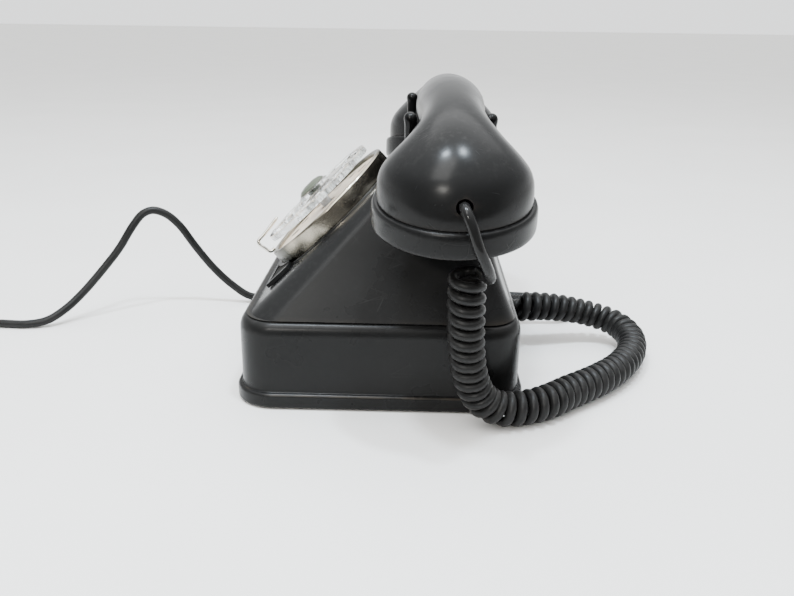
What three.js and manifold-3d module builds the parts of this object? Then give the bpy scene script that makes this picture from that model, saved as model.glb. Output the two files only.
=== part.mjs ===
// A table telephone with a rotary dial, in millimetres.
// +X is the user's right, -Y is the dial side, +Z is up, and the feet stand on Z = 0.
import * as THREE from 'three';
import { mergeVertices } from 'three/addons/utils/BufferGeometryUtils.js';
import Module from 'manifold-3d';

const wasm = await Module();
wasm.setup();

// ---- driving dimensions ----
const GAP = 0.3;

const PLINTH_HALF_X = 75.2;
const PLINTH_HALF_Y = 70.4;
const PLINTH_TOP = 8.2;
const FOOT_DROP = 1.0;
const FLANGE = 2.4;
const BOX_HALF_X = PLINTH_HALF_X - FLANGE;
const BOX_HALF_Y = PLINTH_HALF_Y - FLANGE;
const BOX_CORNER = 17;
const CREASE_Z = 43.2;
const CREASE_INSET = 3;
const WALL = 3;
const CROWN_Z = 110;
const PLATE_LOW = 1.4;
const PLATE_HIGH = 3.4;
const FLOOR_LOW = PLATE_HIGH + GAP;
const FOOT_X = 58;
const FOOT_Y = 52;
const FOOT_BORE = 2.6;

const DIAL_TILT = THREE.MathUtils.degToRad(44.2);
const DIAL_RIM_CENTRE = new THREE.Vector3(0, -32.1, 85.9);
const DIAL_RADIUS = 39.3;
const DIAL_DEPTH = 9.3;
const DIAL_HOLE_RADIUS = 36;
const WHEEL_RADIUS = 34.5;
const WHEEL_LOW = 3.8;
const WHEEL_THICK = 3.3;
const HUB_RADIUS = 9.5;
const HUB_TOP = 12.5;
const FINGER_HOLES = 10;
const FINGER_HOLE_RADIUS = 6.6;
const FINGER_HOLE_PITCH = 26;
const FINGER_HOLE_STEP = 30;
const FINGER_STOP_ANGLE = -68;
const STOP_RADIUS = 0.85;
const FINGER_HOLE_FIRST = FINGER_STOP_ANGLE + 60;
const SHAFT_RADIUS = 3;
const GEAR_TEETH = 40;
const GEAR_PITCH = 20;
const GEAR_LOW = -15;
const GEAR_HIGH = -13;
const PINION_TEETH = 10;
const PINION_PITCH = 5;
const GOVERNOR_SHAFT = 1.6;
const GOVERNOR_X = GEAR_PITCH + PINION_PITCH;
const TOOTH_OUT = 0.6;
const TOOTH_IN = 0.9;

const LABEL_HALF_X = 39;
const LABEL_LOW = 8.8;
const LABEL_HIGH = 23.4;
const LABEL_THICK = 2;
const SLOPE_FOOT = 52;

const CRADLE_Y = 31.2;
const HORN_X = 46.5;
const HORN_TIP_HALF_Y = 18.4;
const HORN_TIP_Z = 136.4;
const PLUNGER_X = 35.5;
const PLUNGER_RADIUS = 2.6;
const PLUNGER_COLLAR = 3.4;
const COLLAR_LOW = 2;
const COLLAR_HIGH = 2.7;
const PLUNGER_TOP = 122;
const LEVER_Z = 97;
const LEVER_AXIS_Y = 14;
const LEVER_ARM_X = 33;

const GONG_X = 34;
const GONG_Y = 34;
const GONG_RADIUS = 24;
const CLAPPER_Y = 8;

const HANDSET_Y = 32.3;
const CUP_X = 84.3;
const CUP_Z = 101.3;
const CUP_LEAN = THREE.MathUtils.degToRad(11);
const CAP_RADIUS = 35.4;
const CAP_HEIGHT = 11.9;
const CAP_HOLE = 1.7;
const BELL_RADIUS = 33;
const HANDLE_TOP = 150.8;
const HANDLE_LOW = 122.3;
const CAVITY_RADIUS = 29.4;
const CAVITY_TOP = CAP_HEIGHT / 2 + 13;
const LEAD_EXIT = new THREE.Vector3(116, 34.7, 110.9);
const LEAD_BORE = 3.4;

const LEAD_RADIUS = 2.4;
const CURLY_RADIUS = 8;
const LINE_RADIUS = 2.4;
const LINE_COIL_CENTRE = new THREE.Vector3(10, -286, 0);
const LINE_COIL_RADIUS = 29;
const LINE_COIL_HALF_WIDTH = 7.4;
const LINE_COIL_HEIGHT = 10;
const CURLY_EXIT = new THREE.Vector3(-14, BOX_HALF_Y, 23);
const LINE_EXIT = new THREE.Vector3(-46, BOX_HALF_Y, 15);
const EXIT_BORE = 3.8;
const PLUG = new THREE.Vector3(68, -288, 8.6);
const PLUG_LENGTH = 31;
const PLUG_FLATNESS = 0.64;
const PIN_RADIUS = 1.5;
const PIN_SPACING = 5;

const COLOURS = {
  bakelite: [0x242526, 0.42, 0.0],
  horn: [0x101112, 0.18, 0.0],
  nickel: [0xb9b3a4, 0.25, 1.0],
  cream: [0xe9e2cf, 0.5, 0.0],
  clear: [0xe8eeee, 0.08, 0.0],
  rubber: [0x1d1e1f, 0.7, 0.0],
  steel: [0x8d9092, 0.4, 1.0],
  brass: [0xb08d4a, 0.35, 1.0],
  copper: [0x9c5a34, 0.5, 0.6],
  fibre: [0x5b3a24, 0.8, 0.0],
  hub: [0x4b5150, 0.5, 0.0],
};

const telephone = new THREE.Group();

// ---- helpers ----
function material(kind) {
  const [color, roughness, metalness] = COLOURS[kind];
  return new THREE.MeshStandardMaterial({ color, roughness, metalness });
}

function place(group, name, geometry, kind) {
  const mesh = new THREE.Mesh(geometry, material(kind));
  mesh.name = name;
  group.add(mesh);
  return mesh;
}

function toSolid(geometry) {
  const bare = geometry.index ? geometry.toNonIndexed() : geometry.clone();
  bare.deleteAttribute('normal');
  bare.deleteAttribute('uv');
  const merged = mergeVertices(bare, 1e-4);
  const triVerts = new Uint32Array(merged.index.array);
  const vertProperties = new Float32Array(merged.attributes.position.array);
  return new wasm.Manifold(new wasm.Mesh({ numProp: 3, vertProperties, triVerts }));
}

function toGeometry(solid) {
  const mesh = solid.getMesh();
  const geometry = new THREE.BufferGeometry();
  const step = mesh.numProp;
  const count = mesh.vertProperties.length / step;
  const position = new Float32Array(count * 3);
  for (let i = 0; i < count; i += 1) {
    for (let k = 0; k < 3; k += 1) {
      position[3 * i + k] = mesh.vertProperties[step * i + k];
    }
  }
  geometry.setAttribute('position', new THREE.BufferAttribute(position, 3));
  geometry.setIndex(Array.from(mesh.triVerts));
  return geometry;
}

function join(...geometries) {
  let solid = toSolid(geometries[0]);
  for (const other of geometries.slice(1)) {
    solid = solid.add(toSolid(other));
  }
  return toGeometry(solid);
}

function cut(geometry, ...tools) {
  let solid = toSolid(geometry);
  for (const tool of tools) {
    solid = solid.subtract(toSolid(tool));
  }
  return toGeometry(solid);
}

// A closed skin over rings with the same number of points, capped flat at both ends.
function loft(rings) {
  const count = rings[0].length;
  const position = [];
  const index = [];
  for (const ring of rings) {
    for (const p of ring) {
      position.push(p.x, p.y, p.z);
    }
  }
  for (let j = 0; j + 1 < rings.length; j += 1) {
    for (let i = 0; i < count; i += 1) {
      const a = j * count + i;
      const b = j * count + ((i + 1) % count);
      index.push(a, b, b + count);
      index.push(a, b + count, a + count);
    }
  }
  for (const last of [false, true]) {
    const ring = last ? rings[rings.length - 1] : rings[0];
    const start = last ? (rings.length - 1) * count : 0;
    const centre = ring.reduce((sum, p) => sum.add(p), new THREE.Vector3()).divideScalar(count);
    const hub = position.length / 3;
    position.push(centre.x, centre.y, centre.z);
    for (let i = 0; i < count; i += 1) {
      const a = start + i;
      const b = start + ((i + 1) % count);
      index.push(...(last ? [a, b, hub] : [b, a, hub]));
    }
  }
  const geometry = new THREE.BufferGeometry();
  geometry.setAttribute('position', new THREE.Float32BufferAttribute(position, 3));
  geometry.setIndex(index);
  return geometry;
}

// A horizontal rounded rectangle between two Y limits, counter-clockwise from above.
function roundedRing(halfX, lowY, highY, radius, z, steps = 5) {
  const ring = [];
  const corners = [
    [halfX - radius, highY - radius, 0],
    [-halfX + radius, highY - radius, 90],
    [-halfX + radius, lowY + radius, 180],
    [halfX - radius, lowY + radius, 270],
  ];
  for (const [cx, cy, start] of corners) {
    for (let i = 0; i <= steps; i += 1) {
      const angle = THREE.MathUtils.degToRad(start + (90 * i) / steps);
      ring.push(new THREE.Vector3(cx + radius * Math.cos(angle), cy + radius * Math.sin(angle), z));
    }
  }
  return ring;
}

// A solid of revolution about +Z from [radius, height] pairs.
function turned(profile, segments = 20) {
  const points = profile.map(([r, h]) => new THREE.Vector2(r, h));
  return outward(new THREE.LatheGeometry(points, segments).rotateX(Math.PI / 2));
}

function disc(radius, low, high, segments = 24) {
  return turned([[0, low], [radius, low], [radius, high], [0, high]], segments);
}

function washer(inner, outer, low, high, segments = 24) {
  return turned([[inner, low], [outer, low], [outer, high], [inner, high], [inner, low]], segments);
}

function block(lowX, highX, lowY, highY, lowZ, highZ) {
  const box = new THREE.BoxGeometry(highX - lowX, highY - lowY, highZ - lowZ);
  return box.translate((lowX + highX) / 2, (lowY + highY) / 2, (lowZ + highZ) / 2);
}

// A round bar between two points.
function bar(from, to, radius, segments = 12) {
  const length = from.distanceTo(to);
  const direction = to.clone().sub(from).normalize();
  const turn = new THREE.Quaternion().setFromUnitVectors(new THREE.Vector3(0, 0, 1), direction);
  return disc(radius, 0, length, segments).applyQuaternion(turn).translate(from.x, from.y, from.z);
}

// A tube of constant section along a smooth curve through the points.
function tube(points, radius, sides, steps) {
  const places = points.map((p) => new THREE.Vector3(...p));
  const curve = new THREE.CatmullRomCurve3(places, false, 'centripetal');
  const section = new THREE.Shape();
  for (let i = 0; i < sides; i += 1) {
    const angle = (2 * Math.PI * i) / sides;
    const draw = i === 0 ? 'moveTo' : 'lineTo';
    section[draw](radius * Math.cos(angle), radius * Math.sin(angle));
  }
  section.closePath();
  return new THREE.ExtrudeGeometry(section, { steps, extrudePath: curve, bevelEnabled: false });
}

// A round bar whose radius changes, through [point, radius] pairs with smooth interpolation.
function taperedBar(stations, sides = 8, samples = 8) {
  const path = new THREE.CatmullRomCurve3(stations.map(([p]) => new THREE.Vector3(...p)));
  const girth = new THREE.CatmullRomCurve3(stations.map(([, r], i) => new THREE.Vector3(r, i, 0)));
  const rings = [];
  for (let j = 0; j <= samples; j += 1) {
    const centre = path.getPoint(j / samples);
    const radius = girth.getPoint(j / samples).x;
    const side = path.getTangent(j / samples).cross(new THREE.Vector3(1, 0, 0)).normalize();
    const across = path.getTangent(j / samples).cross(side).normalize();
    const ring = [];
    for (let i = 0; i < sides; i += 1) {
      const angle = (2 * Math.PI * i) / sides;
      ring.push(centre.clone().addScaledVector(side, radius * Math.cos(angle))
        .addScaledVector(across, radius * Math.sin(angle)));
    }
    rings.push(ring);
  }
  return outward(loft(rings));
}

// Turns a closed geometry the right way out.
function outward(geometry) {
  const p = geometry.attributes.position;
  const index = geometry.index.array;
  const [a, b, c] = [new THREE.Vector3(), new THREE.Vector3(), new THREE.Vector3()];
  let volume = 0;
  for (let i = 0; i < index.length; i += 3) {
    a.fromBufferAttribute(p, index[i]);
    b.fromBufferAttribute(p, index[i + 1]);
    c.fromBufferAttribute(p, index[i + 2]);
    volume += a.dot(b.cross(c));
  }
  if (volume < 0) {
    for (let i = 0; i < index.length; i += 3) {
      [index[i], index[i + 1]] = [index[i + 1], index[i]];
    }
  }
  return geometry;
}

// Moves a geometry made along +Z so that +Z becomes the dial's axis, out of its face.
function onDial(geometry) {
  return geometry.rotateX(DIAL_TILT).translate(...DIAL_RIM_CENTRE.toArray());
}

// ---- housing ----
// Height, half width, front limit, rear limit and corner radius of each level of the shell.
function shellLevels() {
  const levels = [
    [FOOT_DROP, PLINTH_HALF_X, PLINTH_HALF_Y, BOX_CORNER + FLANGE],
    [PLINTH_TOP - 1.4, PLINTH_HALF_X, PLINTH_HALF_Y, BOX_CORNER + FLANGE],
    [PLINTH_TOP - 0.4, PLINTH_HALF_X - 0.7, PLINTH_HALF_Y - 0.7, BOX_CORNER + FLANGE - 0.7],
    [PLINTH_TOP, BOX_HALF_X, BOX_HALF_Y, BOX_CORNER],
    [CREASE_Z - 6.2, BOX_HALF_X, BOX_HALF_Y, BOX_CORNER],
    [CREASE_Z - 3.2, BOX_HALF_X - 0.6, BOX_HALF_Y - 0.6, BOX_CORNER],
    [CREASE_Z - 1.2, BOX_HALF_X - 1.9, BOX_HALF_Y - 1.9, BOX_CORNER - 1],
    [CREASE_Z - 0.3, BOX_HALF_X - CREASE_INSET - 0.4, BOX_HALF_Y - CREASE_INSET - 0.4, BOX_CORNER - 2],
  ];
  return levels.map(([z, x, y, r]) => [z, x, -y, y, r]);
}

// The body above the crease: a flat front slope, and sides and a rear that sweep up to the neck.
function slopeLevels() {
  const seat = new THREE.Vector3(0, 0, -DIAL_DEPTH).applyAxisAngle(new THREE.Vector3(1, 0, 0), DIAL_TILT);
  seat.add(DIAL_RIM_CENTRE);
  const rearStart = BOX_HALF_Y - CREASE_INSET;
  const sideStart = BOX_HALF_X - CREASE_INSET;
  const levels = [];
  const count = 7;
  for (let i = 0; i <= count; i += 1) {
    const t = i / count;
    const z = CREASE_Z + 0.4 + (CROWN_Z - 3 - CREASE_Z) * t;
    const front = seat.y + (z - seat.z) / Math.tan(DIAL_TILT);
    const side = sideStart - 33.5 * t + 6 * t * t;
    const rear = rearStart - 31 * t + 14.5 * t * t;
    levels.push([z, side, front, rear, BOX_CORNER - 2 - 6 * t]);
  }
  const [z, side, front, rear] = levels[count];
  levels.push([z + 2.2, side - 1.2, front + 2.6, rear - 1.2, 8]);
  levels.push([z + 3, side - 3.4, front + 5.4, rear - 3.4, 7]);
  return levels;
}

function housingShell() {
  const outer = [...shellLevels(), ...slopeLevels()];
  const skin = loft(outer.map(([z, x, y0, y1, r]) => roundedRing(x, y0, y1, r, z)));
  const hollowLevels = [
    [FOOT_DROP - 1, BOX_HALF_X - WALL, -BOX_HALF_Y + WALL, BOX_HALF_Y - WALL, BOX_CORNER - WALL],
    [CREASE_Z - 5, BOX_HALF_X - WALL - 0.6, -BOX_HALF_Y + WALL + 0.6, BOX_HALF_Y - WALL - 0.6, 13],
  ];
  for (const [z, x, y0, y1, r] of slopeLevels().slice(0, 8)) {
    hollowLevels.push([z - 1, x - WALL, y0 + WALL * 1.5, y1 - WALL, r - WALL]);
  }
  const hollow = loft(hollowLevels.map(([z, x, y0, y1, r]) => roundedRing(x, y0, y1, r, z, 3)));
  const dialHole = onDial(disc(DIAL_HOLE_RADIUS, -30, 5, 36));
  const tools = [hollow, dialHole];
  for (const side of [-1, 1]) {
    tools.push(disc(PLUNGER_RADIUS + 0.7, 95, 120, 12).translate(side * PLUNGER_X, CRADLE_Y, 0));
  }
  for (const exit of [CURLY_EXIT, LINE_EXIT]) {
    tools.push(disc(EXIT_BORE, -8, 8, 12).rotateX(-Math.PI / 2).translate(exit.x, BOX_HALF_Y, exit.z));
  }
  return cut(skin, ...tools);
}

place(telephone, 'housing', housingShell(), 'bakelite');

// ---- base plate, feet and screws ----
function basePlate() {
  const levels = [PLATE_LOW, PLATE_HIGH];
  const inset = WALL + GAP;
  const rings = levels.map((z) => roundedRing(
    BOX_HALF_X - inset, -BOX_HALF_Y + inset, BOX_HALF_Y - inset, BOX_CORNER - inset, z, 3));
  const holes = [];
  for (const [x, y] of footPlaces()) {
    holes.push(disc(FOOT_BORE, 0, 5, 10).translate(x, y, 0));
  }
  return cut(loft(rings), ...holes);
}

function footPlaces() {
  return [[-FOOT_X, -FOOT_Y], [FOOT_X, -FOOT_Y], [-FOOT_X, FOOT_Y], [FOOT_X, FOOT_Y]];
}

place(telephone, 'base_plate', basePlate(), 'steel');
footPlaces().forEach(([x, y], i) => {
  const foot = washer(FOOT_BORE, 6, 0, PLATE_LOW - GAP, 12).translate(x, y, 0);
  place(telephone, `foot_${i + 1}`, foot, 'rubber');
  const screw = turned([[0, 0.5], [2, 0.5], [2, 3.8], [3.6, 3.8], [3.2, 5.2], [0, 5.6]], 8);
  place(telephone, `base_screw_${i + 1}`, screw.translate(x, y, 0), 'brass');
});

// ---- cradle ----
function horn(sideX, sideY) {
  const foot = [sideX * (HORN_X - 3.5), CRADLE_Y + sideY * 15.4, 114.5];
  const low = [sideX * (HORN_X - 2.2), CRADLE_Y + sideY * 17.4, 120];
  const waist = [sideX * (HORN_X - 1.0), CRADLE_Y + sideY * 18.5, 127];
  const neck = [sideX * (HORN_X - 0.2), CRADLE_Y + sideY * 18.2, 133.5];
  const tip = [sideX * HORN_X, CRADLE_Y + sideY * HORN_TIP_HALF_Y, HORN_TIP_Z - 1.6];
  const end = [sideX * HORN_X, CRADLE_Y + sideY * (HORN_TIP_HALF_Y - 0.3), HORN_TIP_Z + 0.9];
  const top = [sideX * HORN_X, CRADLE_Y + sideY * (HORN_TIP_HALF_Y - 0.4), HORN_TIP_Z + 1.8];
  return taperedBar([
    [foot, 4.2], [low, 3.0], [waist, 2.5], [neck, 2.9], [tip, 3.2], [end, 2.4], [top, 0.7]]);
}

function cradle() {
  const seat = CROWN_Z + 0.4 + GAP;
  const base = loft([seat, seat + 1.8, seat + 2.8].map((z, i) => roundedRing(
    [41, 41, 39.6][i], CRADLE_Y - [17, 17, 15.6][i], CRADLE_Y + [17, 17, 15.6][i], 8, z, 3)));
  const pieces = [base];
  for (const side of [-1, 1]) {
    const saddle = loft([seat, seat + 9.8, seat + 11.4].map((z, i) => {
      const inset = [0, 0, 1.4][i];
      return roundedRing(8 - inset, CRADLE_Y - 17 + inset, CRADLE_Y + 17 - inset, 5 - inset, z, 3);
    }));
    pieces.push(saddle.translate(side * (HORN_X - 7), 0, 0));
    pieces.push(horn(side, -1), horn(side, 1));
  }
  const holes = [-1, 1].map((side) => (
    disc(PLUNGER_RADIUS + GAP, 105, 125, 12).translate(side * PLUNGER_X, CRADLE_Y, 0)));
  return cut(join(...pieces), ...holes);
}

place(telephone, 'cradle', cradle(), 'horn');

// ---- hook switch: two plungers, the lever that they hold down, and its contacts ----
for (const [name, side] of [['left', -1], ['right', 1]]) {
  const plunger = turned([
    [0, LEVER_Z + COLLAR_LOW], [PLUNGER_COLLAR, LEVER_Z + COLLAR_LOW],
    [PLUNGER_COLLAR, LEVER_Z + COLLAR_HIGH], [PLUNGER_RADIUS, LEVER_Z + COLLAR_HIGH],
    [PLUNGER_RADIUS, PLUNGER_TOP - 1], [PLUNGER_RADIUS - 1, PLUNGER_TOP], [0, PLUNGER_TOP]], 12);
  place(telephone, `hook_plunger_${name}`, plunger.translate(side * PLUNGER_X, CRADLE_Y, 0), 'nickel');
  const bearing = cut(
    block(36.2, 38.8, LEVER_AXIS_Y - 4, LEVER_AXIS_Y + 4, LEVER_Z - 4, CROWN_Z - 4.8),
    bar(new THREE.Vector3(30, LEVER_AXIS_Y, LEVER_Z), new THREE.Vector3(45, LEVER_AXIS_Y, LEVER_Z), 1.9));
  place(telephone, `hook_bearing_${name}`, side > 0 ? bearing : outward(bearing.scale(-1, 1, 1)), 'steel');
}

function hookLever() {
  const arms = [-1, 1].map((side) => block(
    side * LEVER_ARM_X - 2.8, side * LEVER_ARM_X + 2.8, LEVER_AXIS_Y - 2.5, CRADLE_Y + 6,
    LEVER_Z - 1.5, LEVER_Z + 1.5));
  const cross = block(-LEVER_ARM_X, LEVER_ARM_X, CRADLE_Y + 3, CRADLE_Y + 6, LEVER_Z - 1.5, LEVER_Z + 1.5);
  const shaft = bar(
    new THREE.Vector3(-38, LEVER_AXIS_Y, LEVER_Z), new THREE.Vector3(38, LEVER_AXIS_Y, LEVER_Z), 1.5);
  return join(...arms, cross, shaft);
}

place(telephone, 'hook_lever', hookLever(), 'steel');
place(telephone, 'hook_contacts', join(
  block(-9, 9, 34.5, 42, 70, 84),
  block(-6, -4, 35.5, 36.5, 83, 92), block(-1, 1, 37.5, 38.5, 83, 90), block(4, 6, 35.5, 36.5, 83, 92),
), 'fibre');

// ---- dial ----
function dialCase() {
  const r = DIAL_RADIUS;
  const d = DIAL_DEPTH;
  return onDial(turned([
    [r - 3.4, -0.6], [r - 2.2, 0], [r - 0.7, 0], [r, -0.7], [r, 0.3 - d], [r - 1.8, 0.3 - d],
    [r - 1.8, -4.2], [r - 3.4, -4.2], [r - 3.4, -0.6]], 40));
}

place(telephone, 'dial_case', dialCase(), 'nickel');
place(telephone, 'dial_number_plate', onDial(washer(5.2, DIAL_RADIUS - 3.7, -3.4, -2, 32)), 'cream');
place(telephone, 'dial_mechanism_plate', onDial(
  washer(5.2, 34, -DIAL_DEPTH - 2, -DIAL_DEPTH, 24)), 'brass');

// Three pillars join the mechanism plate to the number plate.
for (let i = 0; i < 3; i += 1) {
  const angle = THREE.MathUtils.degToRad(90 + 120 * i);
  const pillar = disc(2.2, GAP - DIAL_DEPTH, -3.4 - GAP, 10);
  pillar.translate(30 * Math.cos(angle), 30 * Math.sin(angle), 0);
  place(telephone, `dial_pillar_${i + 1}`, onDial(pillar), 'brass');
}

function fingerStop() {
  const angle = THREE.MathUtils.degToRad(FINGER_STOP_ANGLE);
  const at = (radius, height) => [radius * Math.cos(angle), radius * Math.sin(angle), height];
  const r = DIAL_RADIUS;
  const route = [at(r - 2.4, 1.3), at(r - 0.2, 1.4), at(r + 0.7, 2.3), at(r + 1.3, 5), at(r + 1.8, 8.6),
    at(r + 0.9, 9.9), at(r - 4, 10.3), at(r - 9, 10.9), at(r - 15, 11.7)];
  return onDial(tube(route, STOP_RADIUS, 8, 17));
}

place(telephone, 'finger_stop', fingerStop(), 'nickel');

function fingerWheel() {
  const outline = new THREE.Shape();
  outline.absarc(0, 0, WHEEL_RADIUS, 0, 2 * Math.PI);
  for (let i = 0; i < FINGER_HOLES; i += 1) {
    const angle = THREE.MathUtils.degToRad(FINGER_HOLE_FIRST + FINGER_HOLE_STEP * i);
    const hole = new THREE.Path();
    const x = FINGER_HOLE_PITCH * Math.cos(angle);
    const y = FINGER_HOLE_PITCH * Math.sin(angle);
    hole.absarc(x, y, FINGER_HOLE_RADIUS, 0, 2 * Math.PI, true);
    outline.holes.push(hole);
  }
  const centre = new THREE.Path();
  centre.absarc(0, 0, 3.4, 0, 2 * Math.PI, true);
  outline.holes.push(centre);
  const options = { depth: WHEEL_THICK, bevelEnabled: false, curveSegments: 8 };
  const plate = new THREE.ExtrudeGeometry(outline, options);
  return onDial(plate.translate(0, 0, WHEEL_LOW));
}

place(telephone, 'finger_wheel', fingerWheel(), 'clear');
place(telephone, 'dial_hub', onDial(turned([
  [0, WHEEL_LOW + WHEEL_THICK + GAP], [HUB_RADIUS, WHEEL_LOW + WHEEL_THICK + GAP],
  [HUB_RADIUS, HUB_TOP - 3.2], [HUB_RADIUS - 1.1, HUB_TOP - 2.6], [6.6, HUB_TOP - 1], [3.6, HUB_TOP - 0.2],
  [0, HUB_TOP]], 24)), 'hub');
place(telephone, 'dial_shaft', onDial(turned([
  [0, -26], [SHAFT_RADIUS, -26], [SHAFT_RADIUS, WHEEL_LOW + WHEEL_THICK],
  [0, WHEEL_LOW + WHEEL_THICK]], 14)), 'steel');

// A spur gear about +Z with straight-flanked teeth.
function gear(teeth, rootRadius, tipRadius, bore, low, high, turn = 0) {
  const outline = new THREE.Shape();
  const marks = [[-0.3, rootRadius], [-0.12, tipRadius], [0.12, tipRadius], [0.3, rootRadius]];
  for (let i = 0; i < teeth; i += 1) {
    marks.forEach(([offset, radius], k) => {
      const angle = (2 * Math.PI * (i + offset)) / teeth + turn;
      const draw = i === 0 && k === 0 ? 'moveTo' : 'lineTo';
      outline[draw](radius * Math.cos(angle), radius * Math.sin(angle));
    });
  }
  outline.closePath();
  if (bore > 0) {
    const hole = new THREE.Path();
    hole.absarc(0, 0, bore, 0, 2 * Math.PI, true);
    outline.holes.push(hole);
  }
  const options = { depth: high - low, bevelEnabled: false, curveSegments: 7 };
  return new THREE.ExtrudeGeometry(outline, options).translate(0, 0, low);
}

place(telephone, 'dial_gear', onDial(gear(
  GEAR_TEETH, GEAR_PITCH - TOOTH_IN, GEAR_PITCH + TOOTH_OUT, SHAFT_RADIUS + GAP,
  GEAR_LOW, GEAR_HIGH)), 'brass');
place(telephone, 'governor_pinion', onDial(gear(
  PINION_TEETH, PINION_PITCH - TOOTH_IN, PINION_PITCH + TOOTH_OUT, GOVERNOR_SHAFT + GAP,
  GEAR_LOW - 0.5, GEAR_HIGH + 0.5, Math.PI + Math.PI / PINION_TEETH).translate(GOVERNOR_X, 0, 0)), 'brass');
place(telephone, 'governor', onDial(turned([
  [0, -31], [GOVERNOR_SHAFT, -31], [GOVERNOR_SHAFT, -28], [7, -28], [7, -20], [GOVERNOR_SHAFT, -20],
  [GOVERNOR_SHAFT, -12], [0, -12]], 12).translate(GOVERNOR_X, 0, 0)), 'steel');

// ---- label plate below the dial, cut round by the dial case ----
function labelPlate() {
  const low = GAP - DIAL_DEPTH;
  const plate = block(
    -LABEL_HALF_X, LABEL_HALF_X, LABEL_LOW - SLOPE_FOOT, LABEL_HIGH - SLOPE_FOOT, low, low + LABEL_THICK);
  return cut(onDial(plate), onDial(disc(DIAL_RADIUS + GAP, -20, 10, 36)));
}

place(telephone, 'label_frame', labelPlate(), 'bakelite');

// ---- ringer ----
place(telephone, 'ringer_frame', join(
  block(-44, 44, -2, 44, FLOOR_LOW, FLOOR_LOW + 1.6),
  disc(3, FLOOR_LOW, 26, 12).translate(-GONG_X, GONG_Y, 0),
  disc(3, FLOOR_LOW, 26, 12).translate(GONG_X, GONG_Y, 0),
  disc(2.5, FLOOR_LOW, 27.5, 12).translate(0, CLAPPER_Y, 0)), 'steel');

for (const [name, side] of [['left', -1], ['right', 1]]) {
  const gong = turned([
    [2.2, 26.3], [6, 26.3], [12, 25.6], [19, 23], [22.5, 18], [GONG_RADIUS - 1.2, 11], [GONG_RADIUS, 11],
    [GONG_RADIUS - 0.3, 18.5], [20, 24.4], [12.4, 27.2], [6, 28], [2.2, 28], [2.2, 26.3]], 18);
  place(telephone, `gong_${name}`, gong.translate(side * GONG_X, GONG_Y, 0), 'brass');
  const screw = turned([[0, 28.3], [3.4, 28.3], [3, 30], [0, 30.4]], 12);
  place(telephone, `gong_screw_${name}`, screw.translate(side * GONG_X, GONG_Y, 0), 'steel');
  const coil = turned([
    [0, 5.7], [9, 5.7], [9, 7.2], [7.6, 7.2], [7.6, 24], [9, 24], [9, 25.5], [0, 25.5]], 12);
  place(telephone, `ringer_coil_${name}`, coil.translate(side * 15, CLAPPER_Y, 0), 'copper');
}

place(telephone, 'ringer_clapper', join(
  disc(4, 27.9, 30.5, 12).translate(0, CLAPPER_Y, 0),
  block(-1, 1, CLAPPER_Y, GONG_Y, 28.2, 29.6),
  disc(1, 21, 29, 8).translate(0, GONG_Y, 0),
  new THREE.SphereGeometry(5.2, 12, 8).translate(0, GONG_Y, 19)), 'brass');

// ---- transmission parts on the base plate ----
place(telephone, 'induction_coil', join(
  block(-52, -20, -50, -46.5, FLOOR_LOW, 28), block(-52, -20, -25.5, -22, FLOOR_LOW, 28),
  disc(9.5, -24, 24, 16).rotateX(Math.PI / 2).scale(1, 0.5, 1).translate(-36, -36, 16)), 'copper');
place(telephone, 'capacitor', block(22, 50, -50, -34, FLOOR_LOW, 32), 'steel');
place(telephone, 'terminal_block', join(
  block(14, 54, -26, -14, FLOOR_LOW, 12),
  ...[19, 29, 39, 49].map((x) => disc(2.6, 11, 14, 8).translate(x, -20, 0))), 'fibre');

// ---- handset ----
const handset = new THREE.Group();
telephone.add(handset);

// Each station is [outer x, outer z, inner x, inner z, half width], from one bell to the handle's middle.
function handsetStations() {
  const [sin, cos] = [Math.sin(CUP_LEAN), Math.cos(CUP_LEAN)];
  const rise = CAP_HEIGHT / 2 + GAP;
  const mouthX = CUP_X + rise * sin;
  const mouthZ = CUP_Z + rise * cos;
  const r = BELL_RADIUS;
  return [
    [mouthX + r * cos, mouthZ - r * sin, mouthX - r * cos, mouthZ + r * sin, r],
    [119, 107, 53.9, 116.2, 33],
    [118.6, 113.5, 54.5, 118.4, 32.6],
    [116.6, 120.4, 54.5, 120.2, 31],
    [112.4, 127, 53.4, 121.3, 28],
    [106.2, 133, 51.8, 121.9, 24.4],
    [98, 138, 49.8, 122.2, 20.8],
    [88, 141.9, 47, 122.3, 17.8],
    [76, 144.8, 43.6, 122.3, 15.4],
    [62, 147, 38, 122.3, 14],
    [44, 148.9, 29.5, 122.3, 13.9],
    [23, 150.3, 16.5, 122.3, 15],
    [0, HANDLE_TOP, 0, HANDLE_LOW, 15.7],
  ];
}

function handsetRings(sides) {
  const half = handsetStations();
  const mirrored = half.slice(0, -1).reverse().map(([ox, oz, ix, iz, w]) => [-ox, oz, -ix, iz, w]);
  return [...half, ...mirrored].map(([ox, oz, ix, iz, w]) => {
    const ring = [];
    for (let i = 0; i < sides; i += 1) {
      const angle = (2 * Math.PI * i) / sides;
      const along = (1 + Math.cos(angle)) / 2;
      const x = ix + (ox - ix) * along;
      const z = iz + (oz - iz) * along;
      ring.push(new THREE.Vector3(x, HANDSET_Y + w * Math.sin(angle), z));
    }
    return ring;
  });
}

// Puts a geometry made along +Z into a cup: +Z then points up out of the cap, into the bell.
function inCup(geometry, side) {
  return geometry.rotateY(side * CUP_LEAN).translate(side * CUP_X, HANDSET_Y, CUP_Z);
}

function handsetBody() {
  const tools = [-1, 1].map((side) => inCup(disc(CAVITY_RADIUS, 0, CAVITY_TOP, 28), side));
  const reach = new THREE.Vector3(9, 0, 0);
  tools.push(bar(LEAD_EXIT.clone().sub(reach), LEAD_EXIT.clone().add(reach), LEAD_BORE));
  return cut(outward(loft(handsetRings(20))), ...tools);
}

place(handset, 'handset_body', handsetBody(), 'bakelite');

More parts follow.
